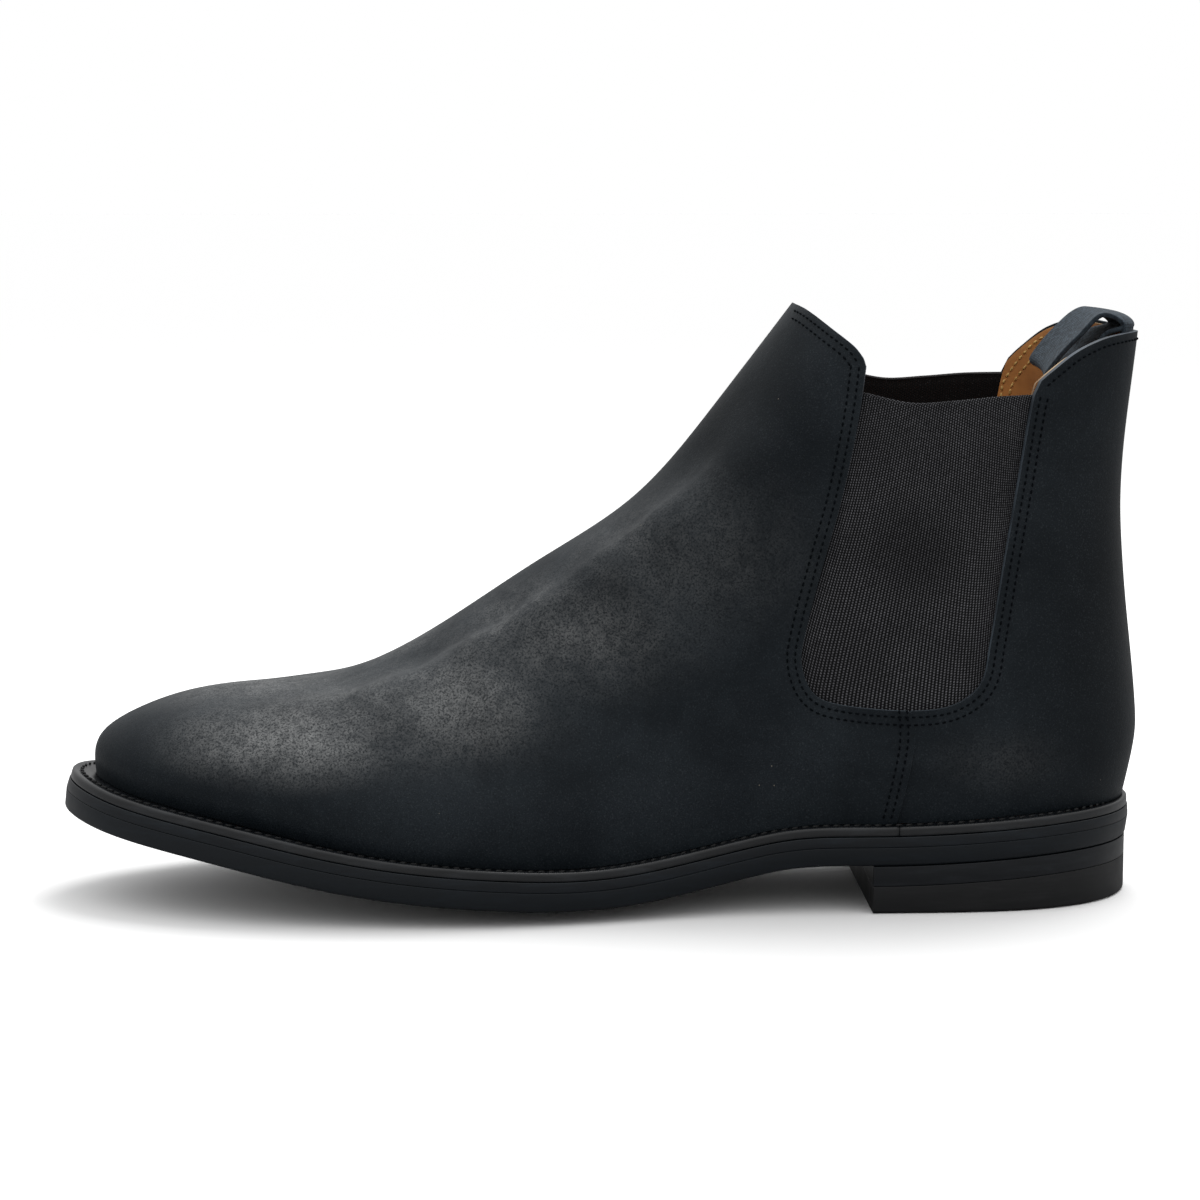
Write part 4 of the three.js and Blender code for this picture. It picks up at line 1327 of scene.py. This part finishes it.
    def stitching(self) -> None:
        """All the sewing on the upper."""
        dark, gold = bmesh.new(), bmesh.new()
        for side in Side:
            lines = CuttingLines(self.skin, side)
            for offset in self.stitch_rows:
                self.row(dark, shifted(lines.window(), -offset), side)
            for offset in self.tab_rows:
                self.row(dark, shifted(lines.front_tab()[:-2], -offset)[4:], side)
            self.row(dark, shifted(lines.back_tab()[:-2], self.back_row), side)
            seam = catmull_rom(lines.SIDE_SEAM, 80)[2:-6]
            for offset in self.seam_rows:
                self.row(dark, seam - (offset, 0), side, self.seam_lift)
            for is_front, reach in ((True, (38.0, 390.0)), (False, (48.0, 130.0))):
                half = HalfPanel(CuttingLines(self.skin, side, self.lining_setback), is_front)
                for offset in self.lining_rows:
                    self.lining_row(gold, half, offset, reach)
        for name, bm, thread in (("upper_stitching", dark, self.kit.dark_thread),
                                 ("lining_stitching", gold, self.kit.gold_thread)):
            finish_piece(new_object(name, bm), [thread], Body.BOOT)


def append(bm: BMesh, part: BMesh) -> None:
    """Add a finished part to a larger mesh, and free the part."""
    mesh = bpy.data.meshes.new("part")
    part.to_mesh(mesh)
    part.free()
    bm.from_mesh(mesh)
    bpy.data.meshes.remove(mesh)


def add_stitch(bm: BMesh, point: np.ndarray, way: np.ndarray, normal: np.ndarray,
               length: float, width: float) -> None:
    """One stitch: a small stretched bead of thread.

    Args:
        bm: Mesh to add to.
        point: Its middle, in millimetres.
        way: Its direction.
        normal: Direction away from what it is sewn to.
        length: Length.
        width: Width and height.
    """
    x = Vector(way).normalized()
    z = Vector(normal).normalized()
    y = z.cross(x).normalized()
    z = x.cross(y)
    turn = Matrix((x, y, z)).transposed().to_4x4()
    size = Matrix.Diagonal((length / 2 * MM, width / 2 * MM, width / 2 * MM, 1))
    move = Matrix.Translation(Vector(point) * MM)
    bmesh.ops.create_uvsphere(bm, u_segments=6, v_segments=4, radius=1, matrix=move @ turn @ size)


# ---------------------------------------------------------------- the bottom


@dataclass
class Bottom:
    """Welt, soles and heel, and the insole inside."""

    sole: SoleLines
    skin: UpperSurface
    kit: Kit
    welt: float = 2.8
    welt_ring: float = 13.0
    rand_joint: float = 81.5
    rand_gap: float = 0.1
    heel_breast: float = 74.5
    midsole_depths: tuple[float, float] = (2.85, 5.75)
    outsole_depths: tuple[float, float] = (5.8, 11.2)
    lift_depths: tuple[float, float] = (11.3, 16.85)
    top_piece_depth: float = 16.95
    stack: float = 11.2
    belly: float = 0.8
    ring_section_steps: int = 56
    stitch_inset: float = 3.0
    stitch_pitch: float = 2.9
    stitch_size: tuple[float, float] = (2.5, 0.8)
    stitch_slant: float = 0.34

    def build(self) -> None:
        """Build and dress every layer."""
        kit = self.kit
        lateral, medial = self.at_x(self.rand_joint - self.rand_gap)
        self.ring("welt", medial - 1, lateral, 520)
        self.ring("heel_rand", *self.at_x(self.rand_joint + self.rand_gap), 200)
        self.slab("midsole", *self.midsole_depths, kit.midsole, "edge_leather")
        self.slab("outsole", *self.outsole_depths, kit.outsole, "sole_rubber", foot_round=0.9)
        self.slab("heel_lift", *self.lift_depths, kit.lift, "edge_leather", is_heel=True)
        self.slab("top_piece", self.top_piece_depth, None, kit.top_piece, "sole_rubber", is_heel=True,
                  foot_round=1.0)
        self.welt_stitches()
        self.footbed()

    def at_x(self, x: float) -> tuple[float, float]:
        """Where the outline crosses x.

        Args:
            x: Place along the boot.

        Returns:
            Outline parameters on the lateral side and on the medial side.
        """
        half = 3001
        t = np.linspace(0, 1, 2 * half - 1)
        line = self.sole.outline(t)
        lateral = t[int(np.argmax(line[:half, 0] > x))]
        medial = 1 - t[int(np.argmax(line[::-1][:half, 0] > x))]
        return float(lateral), float(medial)

    def edge_inset(self, depth: np.ndarray) -> np.ndarray:
        """How far the trimmed edge draws in, most at the top and the bottom of the stack."""
        return self.belly * ((np.asarray(depth) - 5.4) / 5.6) ** 2 * (np.asarray(depth) < 11.3)

    def ring(self, name: str, start: float, end: float, steps: int) -> None:
        """Welt or heel rand: a strip with a rounded lip, between two cuts of the outline.

        Args:
            name: The CAD node.
            start: Outline parameter of its start.
            end: Outline parameter of its end.
            steps: Quads along it.
        """
        lip = 0.5
        section = [(self.welt_ring, self.welt), (0.62, self.welt), (0.5, self.welt - 0.1),
                   (0.4, self.welt - 0.35), (0.38, 1.4), (0.46, lip), (0.7, 0.16), (1.15, 0.0),
                   (1.7, -0.02), (2.1, 0.18), (4.0, 0.2), (4.5, 0.02), (self.welt_ring, 0.0)]
        cut = np.array(section)
        marks = lengths(cut)

        def place(s: np.ndarray, w: np.ndarray) -> np.ndarray:
            """Points of the strip, w round its section."""
            t = (start + (end - start) * s) % 1.0
            inset, depth = along(w * marks[-1], marks, cut).T
            return self.sole.under(self.sole.outline(t, inset), depth)

        obj = grid_mesh(name, (steps, self.ring_section_steps), place)
        close_ends(obj)
        finish_piece(obj, [self.kit.welt], Body.BOOT, [name])

    def slab(self, name: str, top: float, bottom: float | None, material: Material,
             slot: str, is_heel: bool = False, foot_round: float = 0.25) -> None:
        """One sole layer, closed all round.

        Args:
            name: The CAD node.
            top: Depth of its top under the welt's top.
            bottom: Depth of its underside, or None for the floor.
            material: Its finish.
            slot: Not used.
            is_heel: Whether it starts at the heel breast.
            foot_round: Rounding of the lower edge.
        """
        first, last = self.at_x(self.heel_breast) if is_heel else (0.0, 1.0)
        across, corner = 30, 5
        arc, head_round = np.linspace(0, math.pi / 2, corner), 0.22
        head = [(head_round * (1 - math.sin(a)), head_round * (1 - math.cos(a)), True) for a in arc]
        foot = [(foot_round * (1 - math.cos(a)), foot_round * (1 - math.sin(a)), False) for a in arc]
        side = head + foot
        ring = across + len(side) + across + len(side)

        def place(s: np.ndarray, w: np.ndarray) -> np.ndarray:
            """Points of the shell: over the top, down the medial edge, back under, up the lateral."""
            step = np.round(w * ring).astype(int) % ring
            lateral_t = first + (0.5 - first) * s
            medial_t = last + (0.5 - last) * s
            points = np.zeros((len(s), 3))
            for k in range(ring):
                mask = step == k
                if not mask.any():
                    continue
                if k < across:
                    mix, row = k / across, side[0]
                elif k < across + len(side):
                    mix, row = 1.0, side[k - across]
                elif k < 2 * across + len(side):
                    mix, row = 1 - (k - across - len(side)) / across, side[-1]
                else:
                    mix, row = 0.0, side[::-1][k - 2 * across - len(side)]
                points[mask] = self.shell_point(lateral_t[mask], medial_t[mask], mix, row, top, bottom)
            return points

        obj = grid_mesh(name, (110 if is_heel else 260, ring), place, wrap=(True, True))
        close_ends(obj)
        round_edges(obj, 0.2, 60)
        finish_piece(obj, [material], Body.BOOT, [name])

    def shell_point(self, lateral_t: np.ndarray, medial_t: np.ndarray, mix: float,
                    row: tuple[float, float, bool], top: float, bottom: float | None) -> np.ndarray:
        """A point of a sole layer's shell.

        Args:
            lateral_t: Outline parameter on the lateral side.
            medial_t: Outline parameter on the medial side.
            mix: 0 at the lateral edge, 1 at the medial edge.
            row: Inset, distance from the layer's face, and whether that is its top face.
            top: Depth of the top face.
            bottom: Depth of the bottom face, None for the floor.

        Returns:
            Points in millimetres.
        """
        inset, gap, is_top = row
        is_floor = bottom is None and not is_top
        here = self.stack if is_floor else (top + gap if is_top else bottom - gap)
        trim = self.edge_inset(np.array(min(here, self.stack)))
        lateral = self.sole.outline(lateral_t, inset + trim)
        medial = self.sole.outline(medial_t, inset + trim)
        plan = lateral + (medial - lateral) * mix
        point = self.sole.under(plan, np.full(len(plan), 0.0 if is_floor else here))
        if is_floor:
            point[:, 2] = gap
        return point

    def welt_stitches(self) -> None:
        """The lockstitch that shows on the welt, sunk in its groove."""
        t = np.linspace(0, 1, 4001)
        path = self.sole.under(self.sole.outline(t, self.stitch_inset), np.full(len(t), 0.02))
        marks = lengths(path)
        count = int(marks[-1] / self.stitch_pitch)
        bm = bmesh.new()
        for i in range(count):
            at = (i + 0.5) * marks[-1] / count
            mid = along(at, marks, path)
            way = along(at + 0.6, marks, path) - mid
            side = np.array([-way[1], way[0], 0.0])
            add_stitch(bm, mid, way + self.stitch_slant * side, np.array([0.0, 0.0, 1.0]),
                       *self.stitch_size)
        finish_piece(new_object("welt_stitching", bm), [self.kit.welt_thread], Body.BOOT)

    def footbed(self) -> None:
        """Insole and heel sock, inside the lining."""
        wall = 4.0
        for name, level, clearance, low, high, start, material, slot in (
            ("insole", 0.0, 1.0, 0.3, 3.1, None, self.kit.insole, "insole_leather"),
            ("heel_sock", 0.3, 1.2, 3.15, 4.4, 20.0, self.kit.lining, "tan_lining"),
        ):
            self.bed(name, level, wall + clearance, low, high, start, material)

    def bed(self, name: str, level: float, inset: float, low: float, high: float,
            start: float | None, material: Material) -> None:
        """One flat layer inside the boot.

        Args:
            name: The CAD node.
            level: Level of the upper it meets.
            inset: Distance under the skin of its edge.
            low: Height of its underside over the welt's top.
            high: Height of its top.
            start: x of its front edge, or None for the whole length.
            material: Its finish.
        """
        half = 1001
        t = np.linspace(0, 1, 2 * half - 1)
        rim = self.skin.under(t, np.full(len(t), level), inset)[:, :2]
        first, last = 0.0, 1.0
        if start is not None:
            first = float(t[int(np.argmax(rim[:half, 0] > start))])
            last = 1 - float(t[int(np.argmax(rim[::-1][:half, 0] > start))])
        across = 24
        ring = 2 * across + 2

        def place(s: np.ndarray, w: np.ndarray) -> np.ndarray:
            """Points of the shell."""
            step = np.round(w * ring).astype(int) % ring
            is_top = step <= across
            mix = np.where(is_top, step / across, 1 - (step - across - 1) / across)
            lateral_t, medial_t = first + (0.5 - first) * s, last + (0.5 - last) * s
            lateral, medial = along(lateral_t, t, rim), along(medial_t, t, rim)
            plan = lateral + (medial - lateral) * mix[:, None]
            return self.sole.under(plan, -np.where(is_top, high, low))

        obj = grid_mesh(name, (120, ring), place, wrap=(True, True))
        close_ends(obj)
        round_edges(obj, 0.35)
        finish_piece(obj, [material], Body.BOOT, [name])


@dataclass
class PullLoop:
    """The webbing loop, folded forward over the back of the collar."""

    kit: Kit
    width: float = 20.0
    thickness: float = 1.3
    roll: float = math.radians(11)
    sewn_end: tuple[float, float, float] = (150.1, 154, 6.9)

    LINE = [
        (150.4, 161.0), (148.2, 163.6), (142.5, 164.8), (136.8, 162.4), (131, 157), (126.6, 151.6),
        (125.4, 149), (128, 147.8), (133, 149.4), (137.6, 152.4), (141, 156.2), (145, 159.2),
    ]

    def build(self) -> None:
        """Build and dress the loop and the sewn end that it grows out of."""
        self.strap()
        self.anchor()

    def sag(self, y: np.ndarray) -> np.ndarray:
        """How far forward the back of the collar curves at y."""
        return 0.045 * y**2

    def anchor(self) -> None:
        """The two plies of webbing sewn between leather and lining."""
        def place(s: np.ndarray, t: np.ndarray) -> np.ndarray:
            """Points of the ply's middle."""
            x, low, rise = self.sewn_end
            y = (s - 0.5) * (self.width - 0.6)
            return np.stack([x - self.sag(y) + 0.2 * t, y, low + rise * t], 1)

        obj = grid_mesh("loop_anchor", (24, 8), place)
        thicken(obj, self.thickness - 0.1, 0, offset=0)
        finish_piece(obj, [self.kit.webbing], Body.BOOT)

    def strap(self) -> None:
        """The folded strap itself."""
        line = self.LINE + self.LINE[:3]
        start = [self.LINE[-1], *line]
        dense = catmull_rom(start, 1501)
        span = 1500 // (len(start) - 1)
        ring = dense[span:span * (len(self.LINE) + 1) + 1]
        share = lengths(ring)
        share /= share[-1]

        def place(s: np.ndarray, t: np.ndarray) -> np.ndarray:
            """Points of the middle of the webbing, s along it and t across."""
            x, z = along(s, share, ring).T
            y = (t - 0.5) * self.width
            free = smoothstep(148 - x, 0, 14)
            lift = y * math.tan(self.roll) * free
            cup = 0.35 * ((t - 0.5) * 2) ** 2 * free
            x = x - 0.25 * lift - self.sag(y) * (1 - 0.75 * free)
            return np.stack([x, y * (1 - 0.02 * free), z + lift - cup], 1)

        obj = grid_mesh("pull_loop", (180, 22), place, wrap=(True, False), flip=True)
        thicken(obj, self.thickness, 0.35, offset=0)
        finish_piece(obj, [self.kit.webbing], Body.LOOP, ["pull_loop"])


@dataclass
class Inside:
    """Stiffeners, filler, shank and nails: kept as the CAD has them and given their finish."""

    kit: Kit

    def dress(self) -> None:
        """Give each hidden node its material."""
        finishes = {
            "toe_puff": self.kit.board, "heel_counter": self.kit.board, "insole_rib": self.kit.board,
            "cork_filler": self.kit.cork, "shank": self.kit.steel,
        }
        finishes |= {f"heel_nail_{i}": self.kit.steel for i in range(1, 7)}
        for name, material in finishes.items():
            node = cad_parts[name]
            node.data.materials.clear()
            node.data.materials.append(material)
            LOG.info("%s: CAD mesh, %s", name, material.name)


# ---------------------------------------------------------------- studio


@dataclass
class Studio:
    """White floor, soft lights and the camera."""

    target: tuple[float, float, float] = (0.0, 0.0, 0.0832)
    distance: float = 0.905
    azimuth: float = math.radians(-2.0)
    elevation: float = math.radians(7.848)
    lens: float = 95.33
    horizon: float = 0.42
    zenith: float = 1.35

    def build(self) -> None:
        """Set up everything round the boot."""
        self.world()
        self.floor()
        self.soft_light("top_soft_box", (0.2, 0.35, 1.0), (-0.03, 0.0, 0.06), 0.6, 7.0)
        self.camera()

    def world(self) -> None:
        """White surroundings for the camera; as a light, bright overhead and dim at the horizon."""
        world = bpy.data.worlds.new("studio")
        world.use_nodes = True
        tree = world.node_tree
        new, link = tree.nodes.new, tree.links.new
        back = tree.nodes["Background"]
        back.inputs["Color"].default_value = (1, 1, 1, 1)
        parts = new("ShaderNodeSeparateXYZ")
        link(new("ShaderNodeTexCoord").outputs["Generated"], parts.inputs[0])
        sky = new("ShaderNodeMapRange")
        sky.inputs["To Min"].default_value = self.horizon
        sky.inputs["To Max"].default_value = self.zenith
        link(parts.outputs["Z"], sky.inputs["Value"])
        seen = new("ShaderNodeMix")
        seen.inputs["B"].default_value = 1.0
        link(new("ShaderNodeLightPath").outputs["Is Camera Ray"], seen.inputs["Factor"])
        link(sky.outputs["Result"], seen.inputs["A"])
        link(seen.outputs["Result"], back.inputs["Strength"])
        bpy.context.scene.world = world

    def floor(self) -> None:
        """A large pale floor, which throws little light back up."""
        bm = bmesh.new()
        under = Matrix.Translation((0, 0, -0.1 * MM))
        bmesh.ops.create_grid(bm, x_segments=1, y_segments=1, size=12, matrix=under)
        obj = new_object("studio_floor", bm, smooth=False)
        b = Board("studio_floor")
        seen = b.node("ShaderNodeLightPath").outputs["Is Camera Ray"]
        tone = b.blend(seen, (0.35, 0.35, 0.35, 1), (0.96, 0.96, 0.96, 1))
        obj.data.materials.append(b.done(tone, 0.9, Specular_IOR_Level=0.0))

    def soft_light(self, name: str, place: tuple[float, float, float],
                   at: tuple[float, float, float], size: float, power: float) -> None:
        """A square soft box.

        Args:
            name: Its name.
            place: Where it hangs.
            at: What it points at.
            size: Side of the square.
            power: Watts.
        """
        lamp = bpy.data.lights.new(name, "AREA")
        lamp.shape, lamp.size, lamp.energy = "SQUARE", size, power
        obj = bpy.data.objects.new(name, lamp)
        obj.location = place
        obj.rotation_euler = (Vector(place) - Vector(at)).to_track_quat("Z", "Y").to_euler()
        bpy.context.scene.collection.objects.link(obj)

    def camera(self) -> None:
        """A level long-lens camera, slightly above the boot."""
        data = bpy.data.cameras.new("camera")
        data.lens, data.sensor_width = self.lens, 36.0
        back = Vector((math.sin(self.azimuth) * math.cos(self.elevation),
                       -math.cos(self.azimuth) * math.cos(self.elevation), math.sin(self.elevation)))
        obj = bpy.data.objects.new("camera", data)
        obj.location = Vector(self.target) + back * self.distance
        obj.rotation_euler = back.to_track_quat("Z", "Y").to_euler()
        bpy.context.scene.collection.objects.link(obj)
        bpy.context.scene.camera = obj


def main() -> None:
    """Build the boot's looks and the studio, in order."""
    bpy.context.scene.view_settings.view_transform = "Standard"
    kit = Kit.make()
    sole = SoleLines()
    skin = UpperSurface(sole)
    Upper(sole, skin, kit).build()
    Bottom(sole, skin, kit).build()
    PullLoop(kit).build()
    Inside(kit).dress()
    Studio().build()
    LOG.info("boot built")


if __name__ == "__main__":
    main()
